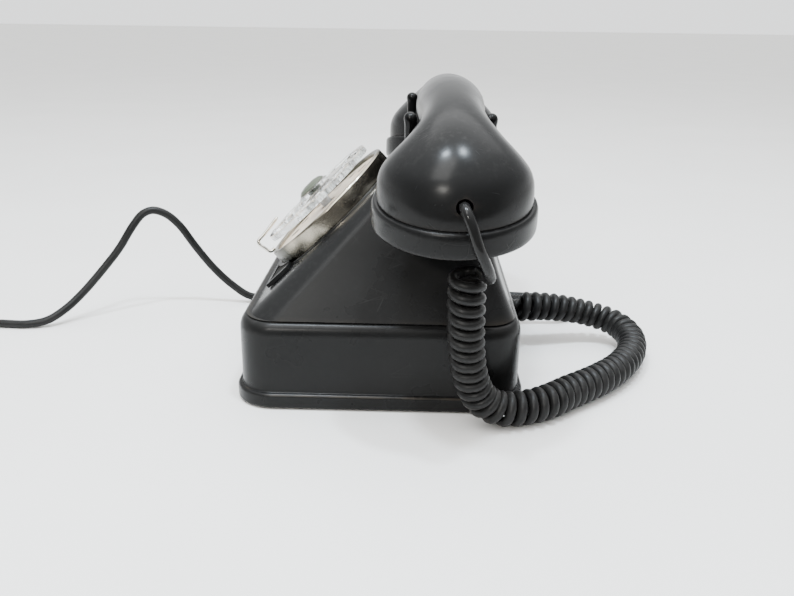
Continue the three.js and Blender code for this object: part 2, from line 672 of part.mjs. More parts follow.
function cap(side, holeRings) {
  const top = CAP_HEIGHT / 2;
  const r = CAP_RADIUS;
  const shell = turned([
    [0, 2.2 - top], [14, 1.9 - top], [26, 0.8 - top], [31, 0.1 - top], [33.2, -top], [35, 0.7 - top],
    [r, 2.4 - top], [r - 0.2, top - 2], [r - 0.8, top - 0.5], [r - 1.5, top], [r - 4.6, top],
    [r - 4.6, 4.2 - top], [0, 4.6 - top]], 28);
  const holes = [];
  for (const [count, radius] of holeRings) {
    for (let i = 0; i < count; i += 1) {
      const angle = (2 * Math.PI * i) / count;
      const hole = disc(CAP_HOLE, -top - 2, 6 - top, 6);
      holes.push(hole.translate(radius * Math.cos(angle), radius * Math.sin(angle), 0));
    }
  }
  return inCup(cut(shell, ...holes), side);
}

place(handset, 'transmitter_cap', cap(1, [[1, 0], [8, 9]]), 'bakelite');
place(handset, 'receiver_cap', cap(-1, [[1, 0], [6, 6]]), 'bakelite');
for (const [name, side] of [['transmitter', 1], ['receiver', -1]]) {
  const low = CAP_HEIGHT / 2 - 6.6;
  const capsule = turned([
    [0, low], [22, low], [28.6, low + 2], [28.6, low + 12], [20, low + 15], [0, low + 15]], 18);
  place(handset, `${name}_capsule`, inCup(capsule, side), 'steel');
}

// ---- cords ----
const LEAD_ROUTE = [
  [115.4, 34.7, 110.9], [118.4, 34.7, 110.8], [121.2, 35.6, 109.2], [122.8, 37.6, 104.6],
  [122.8, 40.6, 96], [120.6, 43.4, 89.6], [117, 45.6, 84.2], [112.6, 46.4, 80.6], [108, 45, 79.4],
  [105, 42.5, 79.3],
];
const CURLY_ROUTE = [
  [100, 38.1, 76.4], [99.6, 38.2, 68], [98.4, 38.5, 58], [96.4, 39.1, 46], [93.6, 40.8, 33],
  [90.4, 44.4, 21], [88.2, 50, 13.2], [86.8, 57.4, 9.6], [84, 67, 8.8], [78, 78.6, 8.8], [68, 89.7, 8.8],
  [52.9, 107.3, 8.8], [34.5, 123.6, 8.8], [13, 135, 9], [-6, 138, 10.2], [-18, 132.6, 12.6],
  [-22.5, 121.4, 15.6], [-22, 110.6, 18.4], [-19.6, 99.6, 20.8], [-17, 88.8, 22.4], [-14.6, 80, 23],
  [-14, 74.4, 23],
];
const LINE_ROUTE = [
  [-46, 88.4, 15], [-46.2, 96, 13.6], [-48, 104, 9.4], [-52.6, 112, 4.6], [-60.6, 117.6, 2.6],
  [-71, 118.4, 2.5], [-81.5, 113, 2.5], [-89, 101, 2.5], [-92.6, 76, 2.5], [-93.4, 50, 2.5],
  [-93.4, 20, 2.5], [-92.6, -10, 2.5], [-90, -38, 2.5], [-84.6, -62, 2.5], [-79, -78, 2.6],
  [-75, -90.6, 4.2], [-74, -102, 12.2], [-72.5, -112.8, 23.7], [-70, -122.9, 38.6], [-67, -131.5, 53.3],
  [-64.5, -138.5, 60.7], [-62, -145.7, 63.6], [-60, -151.5, 61.6], [-57, -157.5, 54.3],
  [-53, -165.4, 41.6], [-47, -174.8, 29.4], [-39, -185.4, 17], [-31, -194, 9], [-24.6, -203, 4],
  [-21.8, -214, 2.5], [-22, -228, 2.5], [-23, -244, 2.5], [-23.8, -258, 2.5], [-24, -266, 2.5],
];
const TAIL_ROUTE = [
  [30, -320, 2.5], [42, -319.6, 2.5], [54, -315.4, 3], [63.4, -307.2, 5], [67.4, -297.6, 7.6],
  [68, -288.6, 8.6],
];

place(handset, 'handset_cord_lead', tube(LEAD_ROUTE, LEAD_RADIUS, 8, 20), 'rubber');
place(telephone, 'handset_cord_coil', tube(CURLY_ROUTE, CURLY_RADIUS, 10, 38), 'rubber');
place(telephone, 'line_cord', tube(LINE_ROUTE, LINE_RADIUS, 8, 60), 'rubber');
place(telephone, 'line_cord_coil', washer(
  LINE_COIL_RADIUS - LINE_COIL_HALF_WIDTH, LINE_COIL_RADIUS + LINE_COIL_HALF_WIDTH, 0, LINE_COIL_HEIGHT, 24,
).translate(LINE_COIL_CENTRE.x, LINE_COIL_CENTRE.y, 0), 'rubber');
place(telephone, 'line_cord_tail', tube(TAIL_ROUTE, LINE_RADIUS, 8, 8), 'rubber');

// The grommets are turned along +Y, out of the housing's rear wall.
function grommet(profile, exit) {
  return turned(profile, 16).rotateX(-Math.PI / 2).translate(exit.x, exit.y, exit.z);
}

place(telephone, 'handset_cord_grommet', grommet(
  [[0, -5.6], [5.4, -5.6], [5.4, -4.1], [3.4, -4.1], [3.4, 0.3], [5.6, 0.3], [5.2, 2.8], [3.6, 6], [0, 6]],
  CURLY_EXIT), 'rubber');
place(telephone, 'line_cord_grommet', grommet(
  [[0, -5.6], [5.4, -5.6], [5.4, -4.1], [3.4, -4.1], [3.4, 0.3], [5.4, 0.3], [5, 2.4], [4.4, 4],
    [3.2, 19.9], [0, 19.9]], LINE_EXIT), 'rubber');

// ---- plug beside the coiled line cord ----
const plugBody = turned([
  [0, 0], [4.2, 0], [4.6, 3], [5.4, 10], [12, 13], [13, 15], [13, PLUG_LENGTH - 1],
  [12.4, PLUG_LENGTH], [0, PLUG_LENGTH]], 14)
  .scale(1, PLUG_FLATNESS, 1).rotateX(-Math.PI / 2).translate(PLUG.x, PLUG.y, PLUG.z);
place(telephone, 'plug_body', plugBody, 'bakelite');
for (let i = 0; i < 4; i += 1) {
  const root = PLUG.clone().add(new THREE.Vector3(PIN_SPACING * (i - 1.5), PLUG_LENGTH + GAP, 0));
  const tip = root.clone().add(new THREE.Vector3(0, 15 - GAP, 0));
  place(telephone, `plug_pin_${i + 1}`, bar(root, tip, PIN_RADIUS, 10), 'brass');
}

export default telephone;
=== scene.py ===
import math
import bmesh
import bpy
from mathutils import Matrix, Quaternion, Vector

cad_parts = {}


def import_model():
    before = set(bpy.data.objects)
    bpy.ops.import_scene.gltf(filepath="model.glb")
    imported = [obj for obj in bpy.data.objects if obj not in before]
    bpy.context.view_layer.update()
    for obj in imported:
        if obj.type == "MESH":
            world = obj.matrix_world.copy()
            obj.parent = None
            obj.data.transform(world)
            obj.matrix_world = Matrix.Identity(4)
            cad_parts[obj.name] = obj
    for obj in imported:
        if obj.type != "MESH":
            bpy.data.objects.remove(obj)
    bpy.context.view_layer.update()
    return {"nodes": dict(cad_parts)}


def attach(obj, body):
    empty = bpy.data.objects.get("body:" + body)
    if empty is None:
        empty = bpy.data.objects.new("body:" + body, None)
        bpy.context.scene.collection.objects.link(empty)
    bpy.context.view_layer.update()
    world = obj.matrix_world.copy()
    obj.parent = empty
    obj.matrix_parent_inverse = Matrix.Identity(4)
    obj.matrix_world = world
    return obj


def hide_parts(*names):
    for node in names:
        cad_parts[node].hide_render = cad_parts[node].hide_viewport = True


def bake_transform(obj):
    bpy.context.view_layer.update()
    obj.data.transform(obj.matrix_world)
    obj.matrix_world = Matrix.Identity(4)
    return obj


# The looks of a table telephone with a rotary dial. Shapes are drawn in millimetres and
# turned into metres by MM; the cord routes are in metres, as in the frame.
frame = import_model()
NODES = frame["nodes"]
MM = 0.001
TURN = 2 * math.pi

# ---- driving dimensions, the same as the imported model's ----
PLINTH_HALF_X = 75.2
PLINTH_HALF_Y = 70.4
PLINTH_CORNER = 19.4
FLANGE = 2.4
BOX_HALF_X = PLINTH_HALF_X - FLANGE
BOX_HALF_Y = PLINTH_HALF_Y - FLANGE
CREASE_Z = 43.2
CREASE_INSET = 3
SIDE_TAPER = 33.5
SIDE_SWELL = 6
REAR_TAPER = 31
REAR_SWELL = 14.5
CROWN_Z = 110
CROWN_ROUND = 3.4
WALL = 3
DIAL_TILT = math.radians(44.2)
DIAL_CENTRE = Vector((0, -32.1, 85.9))
DIAL_RADIUS = 39.3
DIAL_DEPTH = 9.3
DIAL_HOLE_RADIUS = 36
WHEEL_RADIUS = 34.5
WHEEL_LOW = 3.8
WHEEL_THICK = 3.3
WHEEL_BORE_RADIUS = 3.4
HUB_RADIUS = 9.5
HUB_TOP = 12.5
FINGER_HOLES = 10
FINGER_HOLE_RADIUS = 6.6
FINGER_HOLE_PITCH = 26
FINGER_HOLE_STEP = 30
FINGER_STOP_ANGLE = -68
DIGIT_SIZE = 8.4
DIGIT_HEIGHT = -1.94
STOP_RADIUS = 0.85
FINGER_HOLE_FIRST = FINGER_STOP_ANGLE + 60
CRADLE_Y = 31.2
CRADLE_HALF_X = 41
CRADLE_HALF_Y = 17
SADDLE_HALF_X = 8
HORN_X = 46.5
PLUNGER_X = 35.5
PLUNGER_RADIUS = 2.6
HANDSET_Y = 32.3
CUP_X = 84.3
CUP_Z = 101.3
CUP_LEAN = math.radians(11)
CAP_RADIUS = 35.4
CAP_HEIGHT = 11.9
BELL_RADIUS = 33
CUP_HOLLOW_RADIUS = 29.4
LEAD_HOLE = Vector((116, 34.7, 110.9))
LEAD_HOLE_RADIUS = 3.4
WIRE_DIAMETER = 0.0046
LINE_DIAMETER = 0.0048
CURLY_EXIT = Vector((-14, 68, 23))
LINE_EXIT = Vector((-46, 68, 15))
EXIT_RADIUS = 3.8

TO_DIAL = Matrix.Translation(DIAL_CENTRE) @ Matrix.Rotation(DIAL_TILT, 4, "X")


def to_cup(side):
    """Puts a shape made along +Z into a cup of the handset, with +Z up out of the cap."""
    lean = Matrix.Rotation(side * CUP_LEAN, 4, "Y")
    return Matrix.Translation((side * CUP_X, HANDSET_Y, CUP_Z)) @ lean


def to_plunger(side):
    """Puts a shape made along +Z on the axis of a hook plunger."""
    return Matrix.Translation((side * PLUNGER_X, CRADLE_Y, 0))


def to_rear(place):
    """Puts a shape made along +Z at a place, pointing to the rear."""
    return Matrix.Translation(place) @ Matrix.Rotation(-math.pi / 2, 4, "X")


def polar(radius, angle, height=0):
    return radius * math.cos(angle), radius * math.sin(angle), height


def link(name, data):
    """A new object with that data, in the scene."""
    obj = bpy.data.objects.new(name, data)
    bpy.context.scene.collection.objects.link(obj)
    return obj


# ---- camera ----
CAMERA_PLACE = Vector((0.4222, 0.0156, 0.1819))
CAMERA_YAW = math.radians(1.194)
CAMERA_PITCH = math.radians(19.586)
CAMERA_ROLL = math.radians(0.805)
CAMERA_LENS = 36.74
SENSOR_WIDTH = 36


def aim(obj, place, ahead, roll=0):
    """Puts a camera or a light at a place, looking that way."""
    obj.location = place
    obj.rotation_mode = "QUATERNION"
    obj.rotation_quaternion = ahead.to_track_quat("-Z", "Y") @ Quaternion((0, 0, 1), roll)


def add_camera():
    data = bpy.data.cameras.new("camera")
    data.lens = CAMERA_LENS
    data.sensor_width = SENSOR_WIDTH
    data.clip_start = 0.01
    data.clip_end = 100
    camera = link("camera", data)
    ahead = -Vector((
        math.cos(CAMERA_PITCH) * math.cos(CAMERA_YAW),
        math.cos(CAMERA_PITCH) * math.sin(CAMERA_YAW),
        math.sin(CAMERA_PITCH)))
    aim(camera, CAMERA_PLACE, ahead, CAMERA_ROLL)
    bpy.context.scene.camera = camera


add_camera()


# ---- mesh helpers ----
def from_bmesh(name, bm):
    """A new object with the bmesh's shape. The bmesh is used up."""
    mesh = bpy.data.meshes.new(name)
    bm.to_mesh(mesh)
    bm.free()
    return link(name, mesh)


def finished(obj, sharp=35):
    """Smooth shading, with edges past the sharp angle kept crisp."""
    obj.data.shade_smooth()
    obj.data.set_sharp_from_angle(angle=math.radians(sharp))
    return obj


def evaluated_mesh(obj):
    graph = bpy.context.evaluated_depsgraph_get()
    graph.update()
    return bpy.data.meshes.new_from_object(obj.evaluated_get(graph))


def with_modifiers(obj):
    """The object with its modifiers applied."""
    mesh = evaluated_mesh(obj)
    mesh.name = obj.name
    obj.modifiers.clear()
    obj.data = mesh
    return obj


def loft(name, rings, matrix=Matrix.Identity(4)):
    """A skin over rings with the same number of points, in millimetres, capped at both ends."""
    bm = bmesh.new()
    rows = [[bm.verts.new((matrix @ Vector(p)) * MM) for p in ring] for ring in rings]
    count = len(rings[0])
    for low, high in zip(rows, rows[1:]):
        for i in range(count):
            j = (i + 1) % count
            bm.faces.new((low[i], low[j], high[j], high[i]))
    bm.faces.new(list(reversed(rows[0])))
    bm.faces.new(rows[-1])
    bmesh.ops.recalc_face_normals(bm, faces=bm.faces)
    return from_bmesh(name, bm)


def rounded(points, radius, steps=4, closed=False):
    """A polyline with its corners rounded by short curves of about that radius."""
    out = []
    count = len(points)
    for i, point in enumerate(points):
        here = Vector(point)
        if not closed and i in (0, count - 1):
            out.append(here)
            continue
        before = Vector(points[i - 1]) - here
        after = Vector(points[(i + 1) % count]) - here
        a = here + before.normalized() * min(radius, before.length * 0.48)
        b = here + after.normalized() * min(radius, after.length * 0.48)
        for k in range(steps + 1):
            t = k / steps
            out.append(a * (1 - t) ** 2 + here * (2 * t * (1 - t)) + b * t * t)
    return out


def lathe(name, profile, segments=96, matrix=Matrix.Identity(4), soften=0.0, closed=False,
          squash=1.0):
    """A solid of revolution about +Z from (radius, height) pairs, placed by the matrix."""
    line = rounded(profile, soften, closed=closed) if soften else [Vector(p) for p in profile]
    bm = bmesh.new()
    rows = []
    for r, h in line:
        if r < 1e-6:
            rows.append([bm.verts.new((matrix @ Vector((0, 0, h))) * MM)])
            continue
        row = []
        for i in range(segments):
            angle = TURN * i / segments
            spot = Vector((r * math.cos(angle), squash * r * math.sin(angle), h))
            row.append(bm.verts.new((matrix @ spot) * MM))
        rows.append(row)
    pairs = list(zip(rows, rows[1:]))
    if closed:
        pairs.append((rows[-1], rows[0]))
    for low, high in pairs:
        for i in range(segments):
            j = (i + 1) % segments
            corners = [low[i % len(low)], low[j % len(low)], high[j % len(high)], high[i % len(high)]]
            face = list(dict.fromkeys(corners))
            if len(face) > 2:
                bm.faces.new(face)
    bmesh.ops.recalc_face_normals(bm, faces=bm.faces)
    return from_bmesh(name, bm)


def smooth_path(points, spacing):
    """Points about that far apart on a centripetal Catmull-Rom curve through the given ones."""
    points = [Vector(p) for p in points]
    ends = [points[0] * 2 - points[1], *points, points[-1] * 2 - points[-2]]
    out = []
    for p0, p1, p2, p3 in zip(ends, ends[1:], ends[2:], ends[3:]):
        t1 = math.sqrt((p1 - p0).length)
        t2 = t1 + math.sqrt((p2 - p1).length)
        t3 = t2 + math.sqrt((p3 - p2).length)
        steps = max(1, round((p2 - p1).length / spacing))
        for k in range(steps):
            t = t1 + (t2 - t1) * k / steps
            a1 = p0.lerp(p1, t / t1)
            a2 = p1.lerp(p2, (t - t1) / (t2 - t1))
            a3 = p2.lerp(p3, (t - t2) / (t3 - t2))
            b1 = a1.lerp(a2, t / t2)
            b2 = a2.lerp(a3, (t - t1) / (t3 - t1))
            out.append(b1.lerp(b2, (t - t1) / (t2 - t1)))
    out.append(points[-1])
    return out


def frames(path):
    """For each point of a path: the point, and two axes across it that never twist."""
    out = []
    side = None
    for i, point in enumerate(path):
        tangent = (path[min(i + 1, len(path) - 1)] - path[max(i - 1, 0)]).normalized()
        if side is None:
            side = tangent.orthogonal()
        side = (side - tangent * side.dot(tangent)).normalized()
        out.append((point, side, tangent.cross(side)))
    return out


def tube(name, path, radii, sides=12):
    """A round tube of the given radii along a path in metres."""
    rings = []
    for (point, u, v), radius in zip(frames(path), radii):
        ring = []
        for i in range(sides):
            angle = TURN * i / sides
            ring.append((point + (u * math.cos(angle) + v * math.sin(angle)) * radius) / MM)
        rings.append(ring)
    return finished(loft(name, rings), 60)


def distances(path):
    """How far along the path each of its points lies."""
    out = [0]
    for a, b in zip(path, path[1:]):
        out.append(out[-1] + (b - a).length)
    return out


def smoothstep(t):
    t = min(max(t, 0), 1)
    return t * t * (3 - 2 * t)


# ---- handset cord: a straight lead, a helix that hangs and lies round, and a straight end ----
LEAD_ROUTE = [
    (0.111, 0.0347, 0.1109), (0.1154, 0.0347, 0.1109), (0.1184, 0.0347, 0.1108),
    (0.1212, 0.0356, 0.1092), (0.1228, 0.0376, 0.1046), (0.1228, 0.0406, 0.096),
    (0.1206, 0.0434, 0.0896), (0.117, 0.0456, 0.0842), (0.1126, 0.0464, 0.0806),
    (0.108, 0.0456, 0.0796),
]
CURLY_ROUTE = [
    (0.1, 0.0381, 0.079), (0.0996, 0.0382, 0.068), (0.0984, 0.0385, 0.058),
    (0.0964, 0.0391, 0.046), (0.0936, 0.0408, 0.033), (0.0904, 0.0444, 0.021),
    (0.0882, 0.05, 0.0132), (0.0868, 0.0574, 0.0096), (0.084, 0.067, 0.0088),
    (0.078, 0.0786, 0.0088), (0.068, 0.0897, 0.0088), (0.0529, 0.1073, 0.0088),
    (0.0345, 0.1236, 0.0088), (0.013, 0.135, 0.009), (-0.006, 0.138, 0.0102),
    (-0.018, 0.1326, 0.0126), (-0.0225, 0.1214, 0.0156), (-0.022, 0.1106, 0.0184),
    (-0.0196, 0.0996, 0.0208), (-0.017, 0.0888, 0.0224), (-0.0146, 0.08, 0.023),
    (-0.014, 0.0745, 0.023),
]
END_ROUTE = [(-0.0141, 0.0736, 0.0234), (-0.014, 0.0717, 0.023), (-0.014, 0.07, 0.023)]
HELIX_START = math.radians(84)
HELIX_STEPS = 22
HELIX_STATIONS = [
    (0.0, 0.0061, 0.0056), (0.22, 0.006, 0.0053), (0.36, 0.0062, 0.0053), (0.5, 0.0061, 0.0052),
    (0.64, 0.0057, 0.0052), (0.76, 0.0055, 0.0053), (0.86, 0.0053, 0.0053), (0.94, 0.006, 0.0055),
    (1.0, 0.0064, 0.0056),
]
HELIX_FADE = 0.991
HELIX_DROPPED = 4
AXIS_SPACING = 0.0002
LEAD_SPACING = 0.0008
END_SPACING = 0.001
LINE_SPACING = 0.002


def station(t):
    """The helix's radius and pitch at that share of its axis."""
    for (t0, r0, p0), (t1, r1, p1) in zip(HELIX_STATIONS, HELIX_STATIONS[1:]):
        if t <= t1:
            share = (t - t0) / (t1 - t0)
            return r0 + (r1 - r0) * share, p0 + (p1 - p0) * share
    return HELIX_STATIONS[-1][1:]


def helix_path():
    axis = smooth_path(CURLY_ROUTE, AXIS_SPACING)
    total = distances(axis)[-1]
    out = []
    travelled = 0
    angle = None
    next_angle = None
    before = None
    for point, u, v in frames(axis):
        if angle is None:
            across = Vector((math.cos(HELIX_START), math.sin(HELIX_START), 0))
            angle = math.atan2(across.dot(v), across.dot(u))
            next_angle = angle
        else:
            step = (point - before).length
            travelled += step
            angle -= TURN * step / station(travelled / total)[1]
        before = point
        if angle <= next_angle:
            share = travelled / total
            radius = station(share)[0] * (1 - smoothstep((share - HELIX_FADE) / (1 - HELIX_FADE)))
            out.append(point + (u * math.cos(angle) + v * math.sin(angle)) * radius)
            next_angle -= TURN / HELIX_STEPS
    return out


def handset_cord():
    helix = helix_path()[:-HELIX_DROPPED]
    lead = smooth_path([*LEAD_ROUTE, helix[0], helix[1]], LEAD_SPACING)
    end = smooth_path([helix[-1], *END_ROUTE], END_SPACING)
    path = [*lead[:-1], *helix[2:-1], *end]
    cord = tube("handset_cord", path, [WIRE_DIAMETER / 2] * len(path))
    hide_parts("handset_cord_coil", "handset_cord_lead")
    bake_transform(cord)
    return cord, path


# ---- line cord: from the housing round the far side, over an arch, into a neat coil, to its plug ----
LINE_ROUTE = [
    (-0.046, 0.078, 0.015), (-0.046, 0.0884, 0.015), (-0.0462, 0.096, 0.0136),
    (-0.048, 0.104, 0.0094), (-0.0526, 0.112, 0.0046), (-0.0606, 0.1176, 0.0026),
    (-0.071, 0.1184, 0.0025), (-0.0815, 0.113, 0.0025), (-0.089, 0.101, 0.0025),
    (-0.0926, 0.076, 0.0025), (-0.0934, 0.05, 0.0025), (-0.0934, 0.02, 0.0025),
    (-0.0926, -0.01, 0.0025), (-0.09, -0.038, 0.0025), (-0.0846, -0.062, 0.0025),
    (-0.079, -0.078, 0.0026), (-0.075, -0.0906, 0.0042), (-0.074, -0.102, 0.0122),
    (-0.0725, -0.1128, 0.0237), (-0.07, -0.1229, 0.0386), (-0.067, -0.1315, 0.0533),
    (-0.0645, -0.1385, 0.0607), (-0.062, -0.1457, 0.0636), (-0.06, -0.1515, 0.0616),
    (-0.057, -0.1575, 0.0543), (-0.053, -0.1654, 0.0416), (-0.047, -0.1748, 0.0294),
    (-0.039, -0.1854, 0.017), (-0.031, -0.194, 0.009), (-0.0246, -0.203, 0.004),
    (-0.0218, -0.214, 0.0025), (-0.022, -0.228, 0.0025), (-0.023, -0.244, 0.0025),
    (-0.0238, -0.258, 0.0025),
]
TAIL_ROUTE = [
    (0.03, -0.32, 0.0032), (0.042, -0.3196, 0.0025), (0.054, -0.3154, 0.003),
    (0.0634, -0.3072, 0.005), (0.0674, -0.2976, 0.0076), (0.068, -0.2886, 0.0086),
    (0.068, -0.285, 0.0086),
]
COIL_CENTRE = Vector((0.01, -0.286, 0))
COIL_OUTER = 0.034
COIL_STEP = 0.005
COIL_LOW = 0.0025
COIL_HIGH = 0.0074
COIL_COLUMNS = 3
COIL_TURNS = 5.25
COIL_STEPS = 40
COIL_JOG = 0.14


def coil_place(turn):
    """The radius and height of a turn of the coil: three columns inwards, then back out on top."""
    layer, column = divmod(min(turn, 2 * COIL_COLUMNS - 1), COIL_COLUMNS)
    inward = COIL_COLUMNS - 1 - column if layer else column
    return COIL_OUTER - COIL_STEP * inward, COIL_HIGH if layer else COIL_LOW


def coil_path():
    out = []
    for i in range(round(COIL_TURNS * COIL_STEPS) + 1):
        turns = i / COIL_STEPS
        jog = smoothstep((turns % 1 - 1 + COIL_JOG) / COIL_JOG)
        r0, z0 = coil_place(int(turns))
        r1, z1 = coil_place(int(turns) + 1)
        angle = math.pi + TURN * turns
        out.append(COIL_CENTRE + Vector(polar(r0 + (r1 - r0) * jog, angle, z0 + (z1 - z0) * jog)))
    return out


def line_cord():
    path = [*smooth_path([*LINE_ROUTE, coil_path()[0]], LINE_SPACING)[:-1], *coil_path()]
    path.extend(smooth_path([path[-1], *TAIL_ROUTE], LINE_SPACING)[1:])
    cord = tube("line_cord_flex", path, [LINE_DIAMETER / 2] * len(path), 14)
    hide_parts("line_cord", "line_cord_coil", "line_cord_tail")
    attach(cord, "root")
    return cord, path


HANDSET_CORD, HANDSET_PATH = handset_cord()
LINE_CORD, LINE_PATH = line_cord()


# ---- more shape helpers ----
def rounded_ring(half_x, low_y, high_y, radius, z, steps=12, along=8):
    """A horizontal rounded rectangle between two Y limits, counter-clockwise from above."""
    centres = [
        (half_x - radius, high_y - radius), (radius - half_x, high_y - radius),
        (radius - half_x, low_y + radius), (half_x - radius, low_y + radius),
    ]
    arcs = []
    for quarter, (x, y) in enumerate(centres):
        angles = [math.pi / 2 * (quarter + i / steps) for i in range(steps + 1)]
        arcs.append([Vector((x + radius * math.cos(a), y + radius * math.sin(a), z)) for a in angles])
    ring = []
    for arc, following in zip(arcs, arcs[1:] + arcs[:1]):
        ring.extend(arc)
        ring.extend(arc[-1].lerp(following[0], i / along) for i in range(1, along))
    return ring


def cylinder(radius, low, high, matrix=Matrix.Identity(4), segments=48):
    return lathe("tool", [(0, low), (radius, low), (radius, high), (0, high)], segments, matrix)


def block(low, high, matrix=Matrix.Identity(4)):
    """A box between two corners, as a tool for cutting or joining."""
    rings = []
    for z in (low[2], high[2]):
        rings.append([
            (low[0], low[1], z), (high[0], low[1], z), (high[0], high[1], z), (low[0], high[1], z)])
    return loft("tool", rings, matrix)


def combined(obj, tools, operation="DIFFERENCE"):
    """The object with each tool cut away from it or joined to it. The tools are used up."""
    for tool in tools:
        step = obj.modifiers.new("cut", "BOOLEAN")
        step.operation = operation
        step.solver = "EXACT"
        step.object = tool
    with_modifiers(obj)
    for tool in tools:
        bpy.data.objects.remove(tool)
    return obj


def joined(name, objects):
    """One object made of the meshes of several, as they are."""
    bm = bmesh.new()
    for obj in objects:
        bm.from_mesh(obj.data)
        bpy.data.objects.remove(obj)
    return from_bmesh(name, bm)


def bevelled(obj, width, segments=3, angle=40):
    step = obj.modifiers.new("bevel", "BEVEL")
    step.width = width * MM
    step.segments = segments
    step.limit_method = "ANGLE"
    step.angle_limit = math.radians(angle)
    return with_modifiers(obj)


def even_normals(obj, sharp=35):
    """Smooth shading whose normals follow the larger faces, for broad flats with rounded edges."""
    finished(obj, sharp)
    step = obj.modifiers.new("normals", "WEIGHTED_NORMAL")
    step.keep_sharp = True
    return with_modifiers(obj)


def added(obj, body, material):
    """Puts a finished piece that replaces no CAD node on its body."""
    obj.data.materials.append(material)
    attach(obj, body)


def stands_for(obj, body, material, *nodes, slot):
    """Puts a finished piece on its body, in place of its CAD nodes."""
    obj.data.materials.clear()
    obj.data.materials.append(material)
    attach(obj, body)
    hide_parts(*nodes)
    return obj


# ---- materials ----
class Finish:
    """A material's node tree, with short calls for the nodes that the finishes share."""

    def __init__(self, name):
        self.material = bpy.data.materials.new(name)
        self.material.use_nodes = True
        self.tree = self.material.node_tree
        self.shader = self.tree.nodes["Principled BSDF"]
        self.place = self.node("ShaderNodeTexCoord").outputs["Object"]

    def node(self, kind, inputs=None, **settings):
        made = self.tree.nodes.new(kind)
        for key, value in settings.items():
            setattr(made, key, value)
        for key, value in (inputs or {}).items():
            self.feed(made.inputs[key], value)
        return made

    def feed(self, socket, value):
        if isinstance(value, bpy.types.NodeSocket):
            self.tree.links.new(value, socket)
        else:
            socket.default_value = value

    def set(self, **values):
        for key, value in values.items():
            self.feed(self.shader.inputs[key.replace("_", " ")], value)

    def stretched(self, scale, turn):
        inputs = {"Vector": self.place, "Scale": scale, "Rotation": turn}
        return self.node("ShaderNodeMapping", inputs).outputs["Vector"]

    def noise(self, scale, detail=3.0, place=None, distortion=0.0):
        inputs = {"Vector": place or self.place, "Scale": scale, "Detail": detail, "Distortion": distortion}
        return self.node("ShaderNodeTexNoise", inputs).outputs["Fac"]

    def ranged(self, value, low, high, to_low=0.0, to_high=1.0):
        inputs = {"Value": value, "From Min": low, "From Max": high, "To Min": to_low, "To Max": to_high}
        return self.node("ShaderNodeMapRange", inputs).outputs["Result"]

    def maths(self, operation, a, b):
        made = self.node("ShaderNodeMath", operation=operation)
        self.feed(made.inputs[0], a)
        self.feed(made.inputs[1], b)
        return made.outputs[0]

    def times(self, a, b):
        return self.maths("MULTIPLY", a, b)

    def plus(self, a, b):
        return self.maths("ADD", a, b)

    def mixed(self, share, a, b):
        factor, first, second, result = 0, 6, 7, 2
        made = self.node("ShaderNodeMix", data_type="RGBA")
        self.feed(made.inputs[factor], share)
        self.feed(made.inputs[first], a)
        self.feed(made.inputs[second], b)
        return made.outputs[result]

    def scratches(self, scale, turn):
        """Thin broken lines, from 0 between them to 1 on them."""
        cells = self.node("ShaderNodeTexVoronoi", {
            "Vector": self.stretched((scale, scale * 0.22, scale * 0.3), turn), "Scale": 1.0,
        }, feature="DISTANCE_TO_EDGE").outputs["Distance"]
        lines = self.ranged(cells, 0.0, 0.012, 1.0, 0.0)
        return self.times(lines, self.ranged(self.noise(70.0), 0.56, 0.66))

    def edges(self, low, high):
        """The proud edges, from the surface's own curvature."""
        point = self.node("ShaderNodeNewGeometry").outputs["Pointiness"]
        return self.ranged(point, low, high)

    def upward(self, low, high):
        normal = self.node("ShaderNodeNewGeometry").outputs["Normal"]
        height = self.node("ShaderNodeSeparateXYZ", {"Vector": normal}).outputs["Z"]
        return self.ranged(height, low, high)

    def bumped(self, height, strength, depth, under=None):
        inputs = {"Height": height, "Strength": strength, "Distance": depth * MM}
        if under is not None:
            inputs["Normal"] = under
        return self.node("ShaderNodeBump", inputs).outputs["Normal"]


def grey(value, warm=0.0):
    return (value * (1 + warm), value, value * (1 - warm), 1.0)


def moulded(name, dark, light, worn_and_highlight, rough, wear_and_highlight, dust, ripple=0.35):
    """Pressed resin: faint clouding, lighter edges (rubbed wear, and on the housing also painted highlight
    lines), hairline scratches and dust where it faces up.
    """
    f = Finish(name)
    cloud = f.noise(30.0, 1.5)
    rub = f.noise(110.0, 3.0)
    lines = f.maths("MAXIMUM", f.scratches(190.0, (0.3, 0.9, 0.2)), f.scratches(150.0, (1.2, 0.1, 0.8)))
    tone = f.mixed(f.ranged(cloud, 0.3, 0.72), dark, light)
    # Convex edges take a lighter colour. This is rubbed wear, and on the housing it is also a painted
    # highlight along the crease and plinth.
    edge = f.times(f.edges(0.515, 0.6), f.ranged(rub, 0.36, 0.6, 0.15, wear_and_highlight))
    tone = f.mixed(edge, tone, worn_and_highlight)
    speck = f.ranged(f.noise(420.0, 4.0), 0.52, 0.78, 0.0, dust)
    tone = f.mixed(f.times(f.upward(0.35, 1.0), speck), tone, grey(0.1, 0.04))
    tone = f.mixed(f.times(lines, 0.12), tone, grey(0.05))
    haze = f.ranged(cloud, 0.2, 0.8, rough - 0.04, rough + 0.05)
    haze = f.plus(haze, f.ranged(rub, 0.25, 0.75, -0.01, 0.03))
    haze = f.plus(haze, f.times(lines, 0.12))
    skin = f.bumped(f.noise(480.0, 3.0), ripple, 0.02)
    skin = f.bumped(f.maths("SUBTRACT", 1.0, lines), 0.35, 0.03, skin)
    f.set(Base_Color=tone, Roughness=haze, Normal=skin, IOR=1.5, Specular_IOR_Level=0.13)
    return f.material


